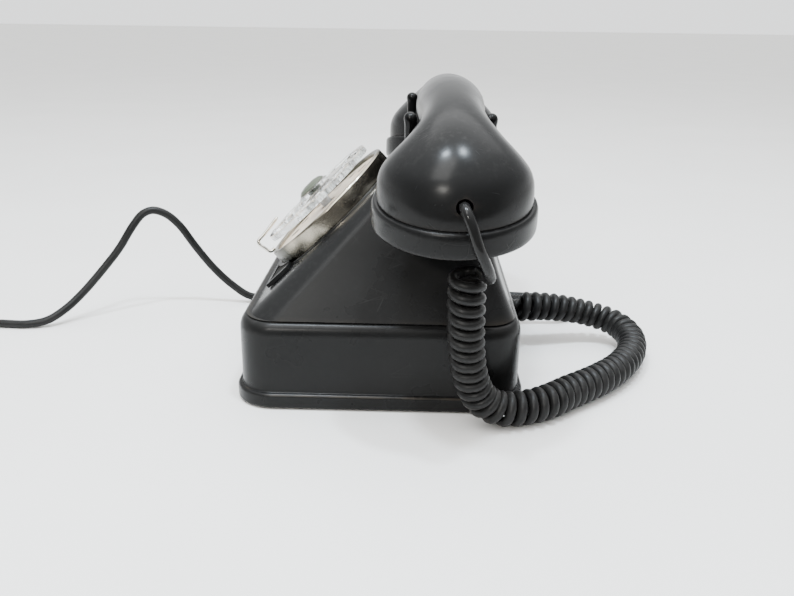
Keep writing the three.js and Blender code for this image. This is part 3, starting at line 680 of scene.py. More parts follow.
def metal(name, bright, tarnish, rough, spots, brushed=0.0, onset=0.52, patches=(75.0, 6.0)):
    """Bare or plated metal: patches of tarnish, fine pits and wiping marks."""
    f = Finish(name)
    patch = f.noise(*patches, distortion=0.4)
    pits = f.noise(1500.0, 2.0)
    wipe = f.noise(30.0, 3.0, f.stretched((6.0, 40.0, 40.0), (0.2, 0.7, 0.4)))
    tone = f.mixed(f.ranged(patch, onset, onset + 0.2, 0.0, spots), bright, tarnish)
    haze = f.ranged(patch, 0.35, 0.75, rough, rough + 0.16)
    haze = f.plus(haze, f.ranged(wipe, 0.3, 0.7, 0.0, 0.1 + brushed))
    skin = f.bumped(pits, 0.12, 0.01)
    skin = f.bumped(wipe, 0.1 + brushed, 0.02, skin)
    f.set(Base_Color=tone, Roughness=haze, Normal=skin, Metallic=1.0)
    return f.material


def cord_rubber(name, gloss_above):
    """Cord sheath: dusty and matt, but rubbed glossy above a height."""
    f = Finish(name)
    cloud = f.noise(60.0, 5.0)
    grit = f.noise(900.0, 3.0)
    height = f.node("ShaderNodeSeparateXYZ", {"Vector": f.place}).outputs["Z"]
    shine = f.ranged(height, gloss_above, gloss_above + 0.01)
    tone = f.mixed(f.ranged(cloud, 0.35, 0.7), grey(0.008), grey(0.013, 0.03))
    settled = f.times(f.upward(0.1, 1.0), f.ranged(grit, 0.46, 0.74, 0.0, 0.16))
    settled = f.times(settled, f.maths("SUBTRACT", 1.0, shine))
    tone = f.mixed(settled, tone, grey(0.09, 0.05))
    haze = f.ranged(cloud, 0.3, 0.7, 0.34, 0.46)
    haze = f.maths("SUBTRACT", haze, f.times(shine, 0.22))
    f.set(Base_Color=tone, Roughness=haze, Normal=f.bumped(grit, 0.22, 0.05), Specular_IOR_Level=0.16)
    return f.material


def pressed_fibre(name, tone_low, tone_high, rough, scale=700.0):
    """A matt fibrous board or paper: long flecks and a coarse tooth."""
    f = Finish(name)
    fleck = f.noise(scale, 4.0, f.stretched((1.0, 0.35, 0.5), (0.4, 0.2, 0.9)))
    patch = f.noise(60.0, 4.0)
    tone = f.mixed(f.ranged(fleck, 0.35, 0.65), tone_low, tone_high)
    tone = f.mixed(f.ranged(patch, 0.5, 0.75, 0.0, 0.35), tone, tone_low)
    haze = f.ranged(patch, 0.3, 0.7, rough - 0.08, rough + 0.08)
    f.set(Base_Color=tone, Roughness=haze, Normal=f.bumped(fleck, 0.4, 0.06), Specular_IOR_Level=0.05)
    return f.material


def windings(name):
    """Enamelled copper wire laid in close turns under clear lacquer, with painted shade in the grooves
    between the turns.
    """
    f = Finish(name)
    turns = f.node("ShaderNodeTexWave", {
        "Vector": f.place, "Scale": 520.0, "Distortion": 0.6, "Detail": 2.0, "Detail Scale": 3.0,
    }, wave_type="BANDS", bands_direction="Z").outputs["Fac"]
    patch = f.noise(80.0, 5.0)
    tone = f.mixed(f.ranged(patch, 0.35, 0.7), (0.3, 0.085, 0.03, 1), (0.46, 0.17, 0.07, 1))
    # The dark bands between the turns are painted shade in the grooves.
    tone = f.mixed(f.ranged(turns, 0.0, 0.5, 0.7, 0.0), tone, (0.06, 0.02, 0.01, 1))
    f.set(Base_Color=tone, Roughness=f.ranged(patch, 0.3, 0.7, 0.28, 0.45))
    f.set(Normal=f.bumped(turns, 0.6, 0.12), Metallic=0.55)
    return f.material


def painted_cream():
    """Cream enamel, yellowed in patches, with grime specks and a fine orange peel."""
    f = Finish("cream_enamel")
    aged = f.noise(50.0, 5.0)
    speck = f.noise(900.0, 2.0)
    tone = f.mixed(f.ranged(aged, 0.38, 0.7), (0.76, 0.64, 0.5, 1), (0.62, 0.47, 0.33, 1))
    tone = f.mixed(f.ranged(speck, 0.68, 0.76, 0.0, 0.6), tone, (0.16, 0.12, 0.08, 1))
    f.set(Base_Color=tone, Roughness=f.ranged(aged, 0.3, 0.7, 0.3, 0.48))
    f.set(Normal=f.bumped(f.noise(600.0), 0.15, 0.03))
    return f.material


def clear_plastic():
    """Clear acrylic, dulled by wiping marks and a little dust."""
    f = Finish("clear_acrylic")
    wipe = f.noise(40.0, 4.0, f.stretched((5.0, 60.0, 60.0), (0.6, 0.3, 0.5)))
    dusty = f.noise(500.0, 4.0)
    lines = f.maths("MAXIMUM", f.scratches(240.0, (0.1, 0.5, 0.4)), f.scratches(200.0, (0.9, 0.2, 0.1)))
    haze = f.plus(f.ranged(wipe, 0.35, 0.75, 0.12, 0.22), f.ranged(dusty, 0.5, 0.8, 0.0, 0.18))
    haze = f.plus(haze, f.times(lines, 0.25))
    tone = f.mixed(f.ranged(dusty, 0.5, 0.8), (0.93, 0.95, 0.95, 1), (0.86, 0.87, 0.85, 1))
    f.set(Base_Color=tone, Roughness=haze, Transmission_Weight=1.0, IOR=1.49)
    f.set(Normal=f.bumped(f.maths("SUBTRACT", 1.0, lines), 0.15, 0.02))
    return f.material


# The housing's light grey edge colour is partly rubbed wear and partly painted highlight lines along its
# crease and plinth.
BAKELITE = moulded("bakelite", grey(0.0065), grey(0.009), (0.045, 0.037, 0.028, 1), 0.27, 0.5, 0.1)
CAP_BAKELITE = moulded("bakelite_caps", grey(0.006), grey(0.009), (0.08, 0.052, 0.034, 1), 0.24, 0.85, 0.1)
HANDSET_BAKELITE = moulded(
    "bakelite_handset", grey(0.0065), grey(0.009), (0.04, 0.032, 0.026, 1), 0.21, 0.4, 0.12, 0.6)
HORN_BLACK = moulded("gloss_black", grey(0.003), grey(0.004), grey(0.02), 0.1, 0.3, 0.04, 0.1)
LABEL_BLACK = moulded("bakelite_label", grey(0.006), grey(0.009), grey(0.02), 0.4, 0.1, 0.1)
PLUG_BLACK = moulded("bakelite_plug", grey(0.007), grey(0.01), (0.05, 0.035, 0.025, 1), 0.3, 0.6, 0.12)
HUB_GREY = moulded("hub_grey", (0.075, 0.084, 0.062, 1), (0.1, 0.11, 0.085, 1), grey(0.2), 0.25, 0.4, 0.1)
NICKEL = metal("nickel", (0.66, 0.63, 0.57, 1), (0.38, 0.31, 0.22, 1), 0.09, 0.75)
CASE_NICKEL = metal(
    "case_nickel", (0.42, 0.38, 0.31, 1), (0.075, 0.073, 0.06, 1), 0.14, 1.0, 0.0, 0.4, (42.0, 1.5))
STEEL = metal("steel", (0.42, 0.43, 0.44, 1), (0.22, 0.18, 0.15, 1), 0.3, 0.7, 0.08)
ZINC = metal("zinc", (0.5, 0.51, 0.52, 1), (0.3, 0.29, 0.28, 1), 0.38, 0.8, 0.1)
BRASS = metal("brass", (0.62, 0.42, 0.17, 1), (0.24, 0.14, 0.06, 1), 0.24, 0.8, 0.05)
COPPER = windings("copper_winding")
FIBRE = pressed_fibre("fibre_board", (0.1, 0.05, 0.025, 1), (0.17, 0.09, 0.05, 1), 0.72)
INSERT = pressed_fibre("label_insert", (0.01, 0.01, 0.009, 1), (0.022, 0.021, 0.019, 1), 0.75, 1200.0)
CREAM = painted_cream()
CLEAR = clear_plastic()
INK = moulded("digit_ink", grey(0.012), grey(0.02), grey(0.1), 0.5, 0.3, 0.1)
CORD_RUBBER = cord_rubber("cord_rubber", 0.078)
FOOT_RUBBER = cord_rubber("foot_rubber", 1.0)

HANDSET_CORD.data.materials.append(CORD_RUBBER)
LINE_CORD.data.materials.append(CORD_RUBBER)


# ---- housing ----
def front_slope(z):
    """The front limit of the sloping face at a height."""
    seat = DIAL_CENTRE + Matrix.Rotation(DIAL_TILT, 3, "X") @ Vector((0, 0, -DIAL_DEPTH))
    return seat.y + (z - seat.z) / math.tan(DIAL_TILT)


def lower_rings():
    """The plinth, the upright walls, the rounded shoulder and the groove above it."""
    foot = [(3.0, 1.0), (0.0, 1.0), (0.0, 7.2), (1.0, 8.2), (FLANGE, 8.2), (FLANGE, 14.0)]
    profile = rounded(foot, 0.9, 4)
    shoulder_z, shoulder_inset, shoulder_rise, steps = 36.5, 3.5, 6.4, 10
    for i in range(steps + 1):
        turn = math.pi / 2 * i / steps
        inset = FLANGE + shoulder_inset * (1 - math.cos(turn))
        profile.append(Vector((inset, shoulder_z + shoulder_rise * math.sin(turn))))
    profile.extend(rounded([(6.2, 43.0), (6.5, 43.2), (6.2, 43.45), (5.6, 43.5)], 0.2, 3))
    rings = []
    for inset, z in profile:
        radius = PLINTH_CORNER - min(inset, FLANGE) - max(inset - FLANGE, 0) * 2 / 3
        half_y = PLINTH_HALF_Y - inset
        rings.append(rounded_ring(PLINTH_HALF_X - inset, -half_y, half_y, radius, z))
    return rings


def slope_section(t):
    """Height, half width, front limit, rear limit and corner radius, from the crease up to the neck."""
    z = CREASE_Z + 0.4 + (CROWN_Z - 3 - CREASE_Z) * t
    side = BOX_HALF_X - CREASE_INSET - SIDE_TAPER * t + SIDE_SWELL * t * t
    rear = BOX_HALF_Y - CREASE_INSET - REAR_TAPER * t + REAR_SWELL * t * t
    return z, side, front_slope(z), rear, 15 - 6 * t


def upper_rings():
    rings = []
    levels = 28
    for i in range(levels + 1):
        z, side, front, rear, radius = slope_section(i / levels)
        rings.append(rounded_ring(side, front, rear, radius, z))
    z, side, front, rear, radius = slope_section(1)
    steps = 8
    for i in range(1, steps + 1):
        turn = math.pi / 2 * i / steps
        rise = CROWN_ROUND * math.sin(turn)
        inset = CROWN_ROUND * (1 - math.cos(turn))
        ahead = front_slope(z + rise) + 1.8 * (1 - math.cos(turn))
        rings.append(rounded_ring(side - inset, ahead, rear - inset, radius - inset * 0.5, z + rise))
    return rings


def housing():
    shell = loft("telephone_housing", lower_rings() + upper_rings())
    half_x, half_y = BOX_HALF_X - WALL, BOX_HALF_Y - WALL
    inside = [rounded_ring(half_x, -half_y, half_y, 14, 0), rounded_ring(half_x, -half_y, half_y, 14, 38)]
    for i in range(8):
        z, side, front, rear, radius = slope_section(i / 7)
        inside.append(rounded_ring(side - WALL, front + WALL * 1.5, rear - WALL, radius - WALL, z - 1))
    tools = [loft("tool", inside), cylinder(DIAL_HOLE_RADIUS, -30, 5, TO_DIAL, 96)]
    tools.extend(cylinder(PLUNGER_RADIUS + 0.7, 95, 120, to_plunger(side)) for side in (-1, 1))
    tools.extend(cylinder(EXIT_RADIUS, -8, 8, to_rear(place)) for place in (CURLY_EXIT, LINE_EXIT))
    even_normals(combined(shell, tools), 30)
    stands_for(shell, "root", BAKELITE, "housing", slot="bakelite")
    seat = lathe("dial_seat_ring", [(40.3, -9.7), (42.0, -9.7), (41.9, -8.9), (40.5, -8.7)], 128, TO_DIAL,
                 0.35, closed=True)
    added(finished(seat), "root", BAKELITE)


housing()


# ---- base ----
PLATE_LOW = 1.4
PLATE_HIGH = 3.4
FOOT_X = 58
FOOT_Y = 52


def base():
    inset = WALL + 0.3
    rings = []
    for z, edge in ((PLATE_LOW, 0.3), (PLATE_LOW + 0.3, 0), (PLATE_HIGH - 0.3, 0), (PLATE_HIGH, 0.3)):
        half_x, half_y = BOX_HALF_X - inset - edge, BOX_HALF_Y - inset - edge
        rings.append(rounded_ring(half_x, -half_y, half_y, 13.7 - edge, z))
    plate = loft("base_sheet", rings)
    places = [(-FOOT_X, -FOOT_Y), (FOOT_X, -FOOT_Y), (-FOOT_X, FOOT_Y), (FOOT_X, FOOT_Y)]
    tools = [cylinder(2.6, 0, 5, Matrix.Translation((x, y, 0))) for x, y in places]
    even_normals(combined(plate, tools))
    stands_for(plate, "root", ZINC, "base_plate", slot="steel")
    for number, (x, y) in enumerate(places, 1):
        move = Matrix.Translation((x, y, 0))
        profile = [(2.7, 0), (5.7, 0), (6, 1.05), (2.7, 1.05)]
        foot = lathe(f"rubber_foot_{number}", profile, 48, move, 0.3, True)
        stands_for(finished(foot), "root", FOOT_RUBBER, f"foot_{number}", slot="rubber")
        profile = [(0, 0.5), (2, 0.5), (2, 3.8), (3.6, 3.8), (3.4, 4.9), (2.2, 5.5), (0, 5.6)]
        screw = lathe(f"foot_screw_{number}", profile, 40, move, 0.25)
        slot_tool = block((-4, -0.4, 4.9), (4, 0.4, 6), move @ Matrix.Rotation(0.7 * number, 4, "Z"))
        finished(combined(screw, [slot_tool]), 30)
        stands_for(screw, "root", BRASS, f"base_screw_{number}", slot="brass")


base()


# ---- cradle and plungers ----
def horn(side_x, side_y):
    stations = [
        ((HORN_X - 3.5, 15.4, 113.5), 4.2), ((HORN_X - 2.2, 17.4, 120), 3.0),
        ((HORN_X - 1.0, 18.5, 127), 2.5), ((HORN_X - 0.2, 18.2, 132.6), 2.9),
        ((HORN_X, 18.3, 135.6), 3.2), ((HORN_X, 18.1, 137.4), 2.3), ((HORN_X, 18.0, 138.2), 0.8),
    ]
    spots = [Vector((side_x * x, CRADLE_Y + side_y * y, z)) for (x, y, z), _ in stations]
    girth = [Vector((radius, index, 0)) for index, (_, radius) in enumerate(stations)]
    centres = smooth_path(spots, 0.5)
    reached = distances(centres)
    marks = distances(spots)
    widths = smooth_path(girth, 0.02)
    radii = []
    for distance in reached:
        here = distance / reached[-1] * marks[-1]
        index = max(i for i, mark in enumerate(marks[:-1]) if mark <= here)
        along = index + (here - marks[index]) / (marks[index + 1] - marks[index])
        radii.append(min(widths, key=lambda w: abs(w.y - along)).x)
    return tube("horn", [p * MM for p in centres], [r * MM for r in radii], 28)


def cradle():
    seat = CROWN_Z + 0.7
    rings = []
    for rise, edge in ((0, 0.3), (0.3, 0), (1.8, 0), (2.5, 0.4), (2.8, 1.2)):
        half_x, half_y = CRADLE_HALF_X - edge, CRADLE_HALF_Y - edge
        rings.append(rounded_ring(half_x, CRADLE_Y - half_y, CRADLE_Y + half_y, 8 - edge, seat + rise))
    pieces = [loft("base", rings)]
    for side in (-1, 1):
        rings = []
        for rise, edge in ((0, 0), (9.3, 0), (10.3, 0.25), (11.0, 0.8), (11.4, 1.8)):
            low, high = CRADLE_Y - CRADLE_HALF_Y + edge, CRADLE_Y + CRADLE_HALF_Y - edge
            ring = rounded_ring(SADDLE_HALF_X - edge, low, high, 5 - edge, seat + rise)
            rings.append([p + Vector((side * (HORN_X - 7), 0, 0)) for p in ring])
        pieces.extend([loft("saddle", rings), horn(side, -1), horn(side, 1)])
    rest = combined(pieces[0], pieces[1:], "UNION")
    rest.name = "handset_cradle"
    remesh = rest.modifiers.new("remesh", "REMESH")
    remesh.mode = "VOXEL"
    remesh.voxel_size = 0.5 * MM
    soften = rest.modifiers.new("soften", "SMOOTH")
    soften.factor = 0.5
    soften.iterations = 5
    with_modifiers(rest)
    tools = [cylinder(PLUNGER_RADIUS + 0.3, 105, 125, to_plunger(side)) for side in (-1, 1)]
    finished(combined(rest, tools), 45)
    stands_for(rest, "root", HORN_BLACK, "cradle", slot="horn")


cradle()


def plungers():
    for name, side in (("left", -1), ("right", 1)):
        profile = [(0, 99), (3.4, 99), (3.4, 99.7), (PLUNGER_RADIUS, 99.7), (PLUNGER_RADIUS, 121),
                   (1.6, 122), (0, 122)]
        pin = finished(lathe(f"plunger_{name}", profile, 48, to_plunger(side), 0.25))
        stands_for(pin, f"hook_plunger_{name}", NICKEL, f"hook_plunger_{name}", slot="nickel")


plungers()


# ---- dial ----
def dial_case():
    r, d = DIAL_RADIUS, DIAL_DEPTH
    profile = [(r - 3.4, -0.6), (r - 2.2, 0), (r - 0.7, 0), (r, -0.7), (r, 0.3 - d), (r - 1.8, 0.3 - d),
               (r - 1.8, -4.2), (r - 3.4, -4.2)]
    case = finished(lathe("dial_bezel", profile, 192, TO_DIAL, 0.45, closed=True), 50)
    stands_for(case, "root", CASE_NICKEL, "dial_case", slot="nickel")


def hole_place(number, height=0):
    """The place of a finger hole's centre, counted from 0, on the dial."""
    angle = math.radians(FINGER_HOLE_FIRST + FINGER_HOLE_STEP * number)
    return polar(FINGER_HOLE_PITCH, angle, height)


def dial_mesh(name, drawing, place):
    """The mesh of a curve or text in millimetres, laid on the dial at a place."""
    source = link(name, drawing)
    mesh = evaluated_mesh(source)
    bpy.data.objects.remove(source)
    mesh.transform(Matrix.Scale(MM, 4) @ TO_DIAL @ Matrix.Translation(place))
    return mesh


def number_plate():
    profile = [(5.2, -3.4), (DIAL_RADIUS - 3.7, -3.4), (DIAL_RADIUS - 3.7, -2), (5.2, -2)]
    plate = finished(lathe("number_ring", profile, 128, TO_DIAL, 0.2, closed=True))
    stands_for(plate, "root", CREAM, "dial_number_plate", slot="cream")
    digits = []
    for number in range(FINGER_HOLES):
        text = bpy.data.curves.new("digit", "FONT")
        text.body = str((number + 1) % 10)
        text.size = DIGIT_SIZE
        text.align_x = "CENTER"
        text.align_y = "CENTER"
        text.extrude = 0.05
        digits.append(link("digit", dial_mesh("digit", text, hole_place(number, DIGIT_HEIGHT))))
    added(joined("dial_digits", digits), "root", INK)


def circle(spline, centre, radius, count):
    spline.points.add(count - 1)
    for i, point in enumerate(spline.points):
        x, y, _ = polar(radius, TURN * i / count)
        point.co = (centre[0] + x, centre[1] + y, 0, 1)
    spline.use_cyclic_u = True


def finger_wheel():
    """A clear disc with ten round holes, every edge slightly rounded."""
    edge = 0.35
    outline = bpy.data.curves.new("wheel", "CURVE")
    outline.dimensions = "2D"
    outline.fill_mode = "BOTH"
    outline.extrude = WHEEL_THICK / 2 - edge
    outline.bevel_depth = edge
    outline.bevel_resolution = 3
    outline.offset = -edge
    circle(outline.splines.new("POLY"), (0, 0), WHEEL_RADIUS, 192)
    circle(outline.splines.new("POLY"), (0, 0), WHEEL_BORE_RADIUS, 48)
    for number in range(FINGER_HOLES):
        circle(outline.splines.new("POLY"), hole_place(number), FINGER_HOLE_RADIUS, 64)
    mesh = dial_mesh("wheel", outline, (0, 0, WHEEL_LOW + WHEEL_THICK / 2))
    wheel = link("clear_finger_wheel", mesh)
    bm = bmesh.new()
    bm.from_mesh(mesh)
    bmesh.ops.remove_doubles(bm, verts=bm.verts, dist=0.01 * MM)
    bmesh.ops.recalc_face_normals(bm, faces=bm.faces)
    bm.to_mesh(mesh)
    bm.free()
    finished(wheel, 40)
    stands_for(wheel, "finger_wheel", CLEAR, "finger_wheel", slot="clear")


def dial_centre():
    low = WHEEL_LOW + WHEEL_THICK + 0.3
    seam = HUB_TOP - 2.7
    collar = [(4.4, low), (HUB_RADIUS, low), (HUB_RADIUS, seam - 0.5), (8.6, seam), (4.4, seam)]
    ring = finished(lathe("dial_collar", collar, 96, TO_DIAL, 0.4, closed=True), 50)
    dome = [(0, low), (4.2, low), (4.2, seam + 0.1), (8.3, seam + 0.1), (8.0, seam + 0.7),
            (6.4, HUB_TOP - 0.8), (3.6, HUB_TOP - 0.15), (0, HUB_TOP)]
    hub = finished(lathe("dial_dome", dome, 96, TO_DIAL, 0.35), 50)
    stands_for(hub, "finger_wheel", HUB_GREY, "dial_hub", slot="hub")
    added(ring, "finger_wheel", CLEAR)


def finger_stop():
    angle = math.radians(FINGER_STOP_ANGLE)
    r = DIAL_RADIUS
    route = [(r - 2.4, 1.3), (r - 0.2, 1.4), (r + 0.7, 2.3), (r + 1.3, 5), (r + 1.8, 8.6), (r + 0.9, 9.9),
             (r - 4, 10.3), (r - 9, 10.9), (r - 15, 11.7)]
    spots = [TO_DIAL @ Vector(polar(out, angle, h)) * MM for out, h in route]
    path = smooth_path(spots, 0.0004)
    radii = [STOP_RADIUS * MM] * len(path)
    for i, share in enumerate((0.35, 0.75, 0.93)):
        radii[-1 - i] = STOP_RADIUS * MM * share
    stop = tube("finger_stop_wire", path, radii, 20)
    stands_for(stop, "root", NICKEL, "finger_stop", slot="nickel")


dial_case()
number_plate()
finger_wheel()
dial_centre()
finger_stop()


# ---- label plate ----
LABEL_HALF_X = 39
LABEL_LOW = 8.8 - 52
LABEL_HIGH = 23.4 - 52


def label():
    low = 0.3 - DIAL_DEPTH
    plate = block((-LABEL_HALF_X, LABEL_LOW, low), (LABEL_HALF_X, LABEL_HIGH, low + 2), TO_DIAL)
    rim = 2.2
    recess = block((rim - LABEL_HALF_X, LABEL_LOW + rim, low + 1.3),
                   (LABEL_HALF_X - rim, LABEL_HIGH, low + 4), TO_DIAL)
    combined(recess, [cylinder(DIAL_RADIUS + 0.3 + rim, -20, 10, TO_DIAL, 192)])
    combined(plate, [cylinder(DIAL_RADIUS + 0.3, -20, 10, TO_DIAL, 192), recess])
    plate.name = "label_holder"
    even_normals(bevelled(plate, 0.25), 40)
    stands_for(plate, "root", LABEL_BLACK, "label_frame", slot="bakelite")
    gap = rim + 0.3
    insert = block((gap - LABEL_HALF_X, LABEL_LOW + gap, low + 1.32),
                   (LABEL_HALF_X - gap, LABEL_HIGH, low + 1.6), TO_DIAL)
    combined(insert, [cylinder(DIAL_RADIUS + 0.3 + gap, -20, 10, TO_DIAL, 192)])
    insert.name = "label_insert"
    added(finished(insert), "root", INSERT)


label()


# ---- handset ----
def handset_stations():
    """Outer x and z, inner x and z, and half width, from one bell to the handle's middle."""
    rise = CAP_HEIGHT / 2 + 0.3
    x = CUP_X + rise * math.sin(CUP_LEAN)
    z = CUP_Z + rise * math.cos(CUP_LEAN)
    out, down = BELL_RADIUS * math.cos(CUP_LEAN), BELL_RADIUS * math.sin(CUP_LEAN)
    return [
        (x + out, z - down, x - out, z + down, BELL_RADIUS),
        (119, 107, 53.9, 116.2, 33), (118.6, 113.5, 54.5, 118.4, 32.6), (116.6, 120.4, 54.5, 120.2, 31),
        (112.4, 127, 53.4, 121.3, 28), (106.2, 133, 51.8, 121.9, 24.4), (98, 138, 49.8, 122.2, 20.8),
        (88, 141.9, 47, 122.3, 18), (76, 144.8, 43.6, 122.3, 15.9), (62, 147, 38, 122.3, 14.9),
        (44, 148.9, 29.5, 122.3, 15.1), (23, 150.3, 16.5, 122.3, 16.3), (0, 150.8, 0, 122.3, 17),
    ]


def handset_rings(sides=72):
    half = handset_stations()
    whole = half + [(-a, b, -c, d, w) for a, b, c, d, w in reversed(half[:-1])]
    rings = []
    for outer_x, outer_z, inner_x, inner_z, width in smooth_path(whole, 2.2):
        ring = []
        for i in range(sides):
            angle = TURN * i / sides
            share = (1 + math.cos(angle)) / 2
            ring.append(Vector((
                inner_x + (outer_x - inner_x) * share,
                HANDSET_Y + width * math.sin(angle),
                inner_z + (outer_z - inner_z) * share)))
        rings.append(ring)
    return rings


def handset_body():
    body = loft("handset_shell", handset_rings())
    tools = [cylinder(CUP_HOLLOW_RADIUS, 0, CAP_HEIGHT / 2 + 13, to_cup(side), 96) for side in (-1, 1)]
    sideways = Matrix.Translation(LEAD_HOLE) @ Matrix.Rotation(math.pi / 2, 4, "Y")
    tools.append(cylinder(LEAD_HOLE_RADIUS, -9, 9, sideways))
    finished(combined(body, tools), 40)
    stands_for(body, "handset", HANDSET_BAKELITE, "handset_body", slot="bakelite")


def cap(name, side, hole_rings):
    top = CAP_HEIGHT / 2
    r = CAP_RADIUS
    profile = [
        (0, 2.2 - top), (14, 1.9 - top), (26, 0.8 - top), (31, 0.1 - top), (33.2, -top), (35, 0.7 - top),
        (r, 2.4 - top), (r - 0.1, top - 2), (r - 0.7, top - 0.5), (r - 1.6, top), (r - 4.6, top),
        (r - 4.6, 4.2 - top), (0, 4.6 - top)]
    shell = lathe(f"{name}_screw_cap", profile, 128, to_cup(side), 1.4)
    holes = []
    for count, radius in hole_rings:
        for i in range(count):
            spot = Matrix.Translation(polar(radius, TURN * i / count))
            holes.append(cylinder(1.7, -top - 2, 6 - top, to_cup(side) @ spot, 24))
    finished(combined(shell, holes), 40)
    stands_for(shell, "handset", CAP_BAKELITE, f"{name}_cap", slot="bakelite")


handset_body()
cap("transmitter", 1, [(1, 0), (8, 9)])
cap("receiver", -1, [(1, 0), (6, 6)])


# ---- grommets and plug ----
def grommets():
    shapes = {
        "handset_cord": (CURLY_EXIT, [(5.6, 0.3), (5.2, 2.8), (3.6, 6), (0, 6)]),
        "line_cord": (LINE_EXIT, [(5.4, 0.3), (5, 2.4), (4.4, 4), *ribs(), (3.2, 19.9), (0, 19.9)]),
    }
    made = {}
    inner = [(0, -5.6), (5.4, -5.6), (5.4, -4.1), (3.4, -4.1), (3.4, 0.3)]
    for name, (exit_place, outer) in shapes.items():
        piece = finished(lathe(f"{name}_sleeve", inner + outer, 48, to_rear(exit_place), 0.3), 50)
        made[name] = stands_for(piece, "root", FOOT_RUBBER, f"{name}_grommet", slot="rubber")
    return made


def ribs():
    """The ribs of a tapered sleeve, as (radius, height) pairs."""
    pairs = []
    count = 7
    for i in range(count):
        height = 5.2 + 1.95 * i
        radius = 4.3 - 0.13 * i
        pairs.extend([(radius, height), (radius, height + 0.9), (radius - 0.5, height + 1.1),
                      (radius - 0.55, height + 1.8)])
    return pairs


PLUG = Vector((68, -288, 8.6))


def plug():
    profile = [(0, 0), (4.2, 0), (4.6, 3), (5.4, 10), (12, 13), (13, 15), (13, 30), (12.4, 31), (0, 31)]
    ahead = to_rear(PLUG)
    body = finished(lathe("plug_shell", profile, 96, ahead, 0.9, squash=0.64), 50)
    pieces = [stands_for(body, "root", PLUG_BLACK, "plug_body", slot="bakelite")]
    for number in range(1, 5):
        move = ahead @ Matrix.Translation((5 * (number - 2.5), 0, 0))
        outline = [(0, 31.3), (1.5, 31.3), (1.5, 45), (0.9, 46), (0, 46)]
        pin = lathe(f"contact_pin_{number}", outline, 32, move, 0.5)
        pieces.append(stands_for(finished(pin, 50), "root", BRASS, f"plug_pin_{number}", slot="brass"))
    return pieces


GROMMETS = grommets()
PLUG_PIECES = plug()


# ---- inner parts: new gongs, and the CAD nodes of the rest with the finish of what they are made of ----
def inner_parts():
    gong_profile = [
        (2.2, 26.3), (6, 26.3), (12, 25.6), (19, 23), (22.5, 18), (22.8, 11), (24, 11), (23.7, 18.5),
        (20, 24.4), (12.4, 27.2), (6, 28), (2.2, 28)]
    for name, side in (("left", -1), ("right", 1)):
        move = Matrix.Translation((side * 34, 34, 0))
        gong = finished(lathe(f"bell_gong_{name}", gong_profile, 96, move, 0.5, closed=True), 50)
        stands_for(gong, "root", BRASS, f"gong_{name}", slot="brass")
    finishes = {
        STEEL: ["hook_lever", "hook_bearing_left", "hook_bearing_right", "dial_shaft", "governor",
                "gong_screw_left", "gong_screw_right", "transmitter_capsule", "receiver_capsule"],
        ZINC: ["ringer_frame", "capacitor"],
        BRASS: ["dial_mechanism_plate", "dial_pillar_1", "dial_pillar_2", "dial_pillar_3", "dial_gear",
                "governor_pinion", "ringer_clapper"],
        COPPER: ["ringer_coil_left", "ringer_coil_right", "induction_coil"],
        FIBRE: ["hook_contacts", "terminal_block"],
    }
    for finish, names in finishes.items():
        for name in names:
            NODES[name].data.materials.clear()
            NODES[name].data.materials.append(finish)


inner_parts()


# ---- stage ----
WORLD_DARK = 0.2
WORLD_BACK = 1.9
WORLD_TOP = 2.5


def area_light(name, place, target, size, power, colour):
    data = bpy.data.lights.new(name, "AREA")
    data.shape = "RECTANGLE"
    data.size, data.size_y = size
    data.energy = power
    data.color = colour
    aim(link(name, data), place, Vector(target) - Vector(place))


def floor():
    """A pale floor that reaches far behind the telephone and stops short of the camera."""
    far, near = -8, 0.27
    mesh = bpy.data.meshes.new("floor")
    corners = [(far, far, 0), (near, far, 0), (near, -far, 0), (far, -far, 0)]
    mesh.from_pydata(corners, [], [(0, 1, 2, 3)])
    plane = link("floor", mesh)
    f = Finish("pale_floor")
    tone = f.mixed(f.ranged(f.noise(9.0, 4.0), 0.3, 0.7), (0.8, 0.79, 0.77, 1), (0.83, 0.82, 0.8, 1))
    f.set(Base_Color=tone, Roughness=0.6)
    mesh.materials.append(f.material)


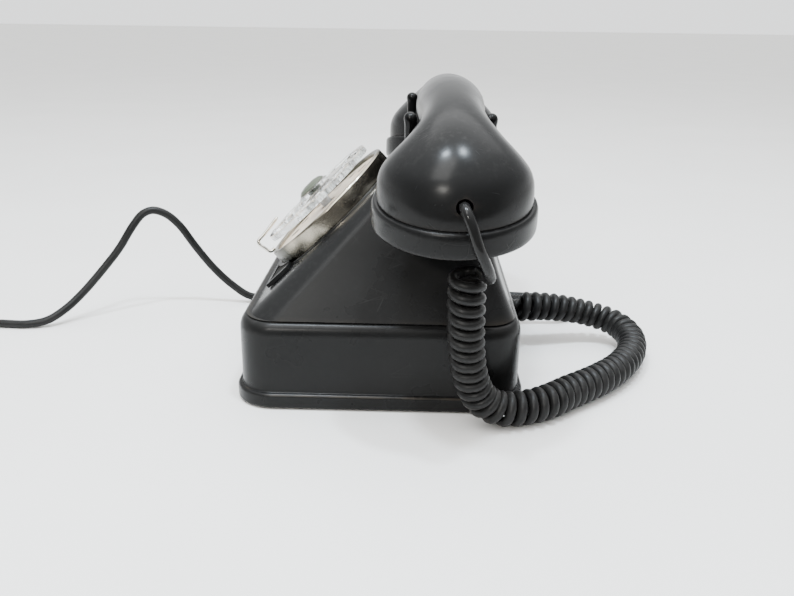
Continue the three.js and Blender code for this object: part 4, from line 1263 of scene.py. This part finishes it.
def world():
    """A studio that is bright above and behind the telephone, and dark on the camera's side."""
    scene_world = bpy.data.worlds.new("studio")
    bpy.context.scene.world = scene_world
    scene_world.use_nodes = True
    tree = scene_world.node_tree
    background = tree.nodes["Background"]
    background.inputs["Color"].default_value = (0.93, 0.945, 0.95, 1)
    direction = tree.nodes.new("ShaderNodeSeparateXYZ")
    tree.links.new(tree.nodes.new("ShaderNodeTexCoord").outputs["Generated"], direction.inputs[0])

    def ramp(axis, low, high, to_low, to_high):
        made = tree.nodes.new("ShaderNodeMapRange")
        tree.links.new(direction.outputs[axis], made.inputs["Value"])
        for key, value in (("From Min", low), ("From Max", high), ("To Min", to_low), ("To Max", to_high)):
            made.inputs[key].default_value = value
        return made.outputs["Result"]

    def together(operation, a, b):
        made = tree.nodes.new("ShaderNodeMath")
        made.operation = operation
        tree.links.new(a, made.inputs[0])
        tree.links.new(b, made.inputs[1])
        return made.outputs[0]

    back = ramp("X", -0.1, 0.55, WORLD_BACK, WORLD_DARK)
    back = together("MULTIPLY", back, ramp("Z", 0.05, 0.22, 1.0, 0.5))
    strength = together("MAXIMUM", back, ramp("Z", 0.3, 0.8, WORLD_DARK, WORLD_TOP))
    tree.links.new(strength, background.inputs["Strength"])


floor()
world()
LAMP_SIZE = (0.07, 0.1)
LAMP_BLUE = (0.78, 0.89, 1.0)
area_light("overhead", (-0.35, 0.1, 1.15), (0, 0, 0.05), (1.5, 1.5), 8, (1.0, 1.0, 1.0))
area_light("ceiling", (0.55, -0.25, 0.95), (0.05, 0, 0.06), (0.4, 0.7), 8, (1.0, 1.0, 0.98))
area_light("lamp_left", (0.2, -0.2, 1.09), (0.11, 0.03, 0.13), LAMP_SIZE, 9, LAMP_BLUE)
area_light("lamp_right", (0.18, 0.17, 1.11), (0.11, 0.03, 0.13), LAMP_SIZE, 10, LAMP_BLUE)
area_light("side_lamp", (0.99, -0.3, 0.5), (0.12, 0.025, 0.12), (0.16, 0.07), 4, (1.0, 0.97, 0.91))
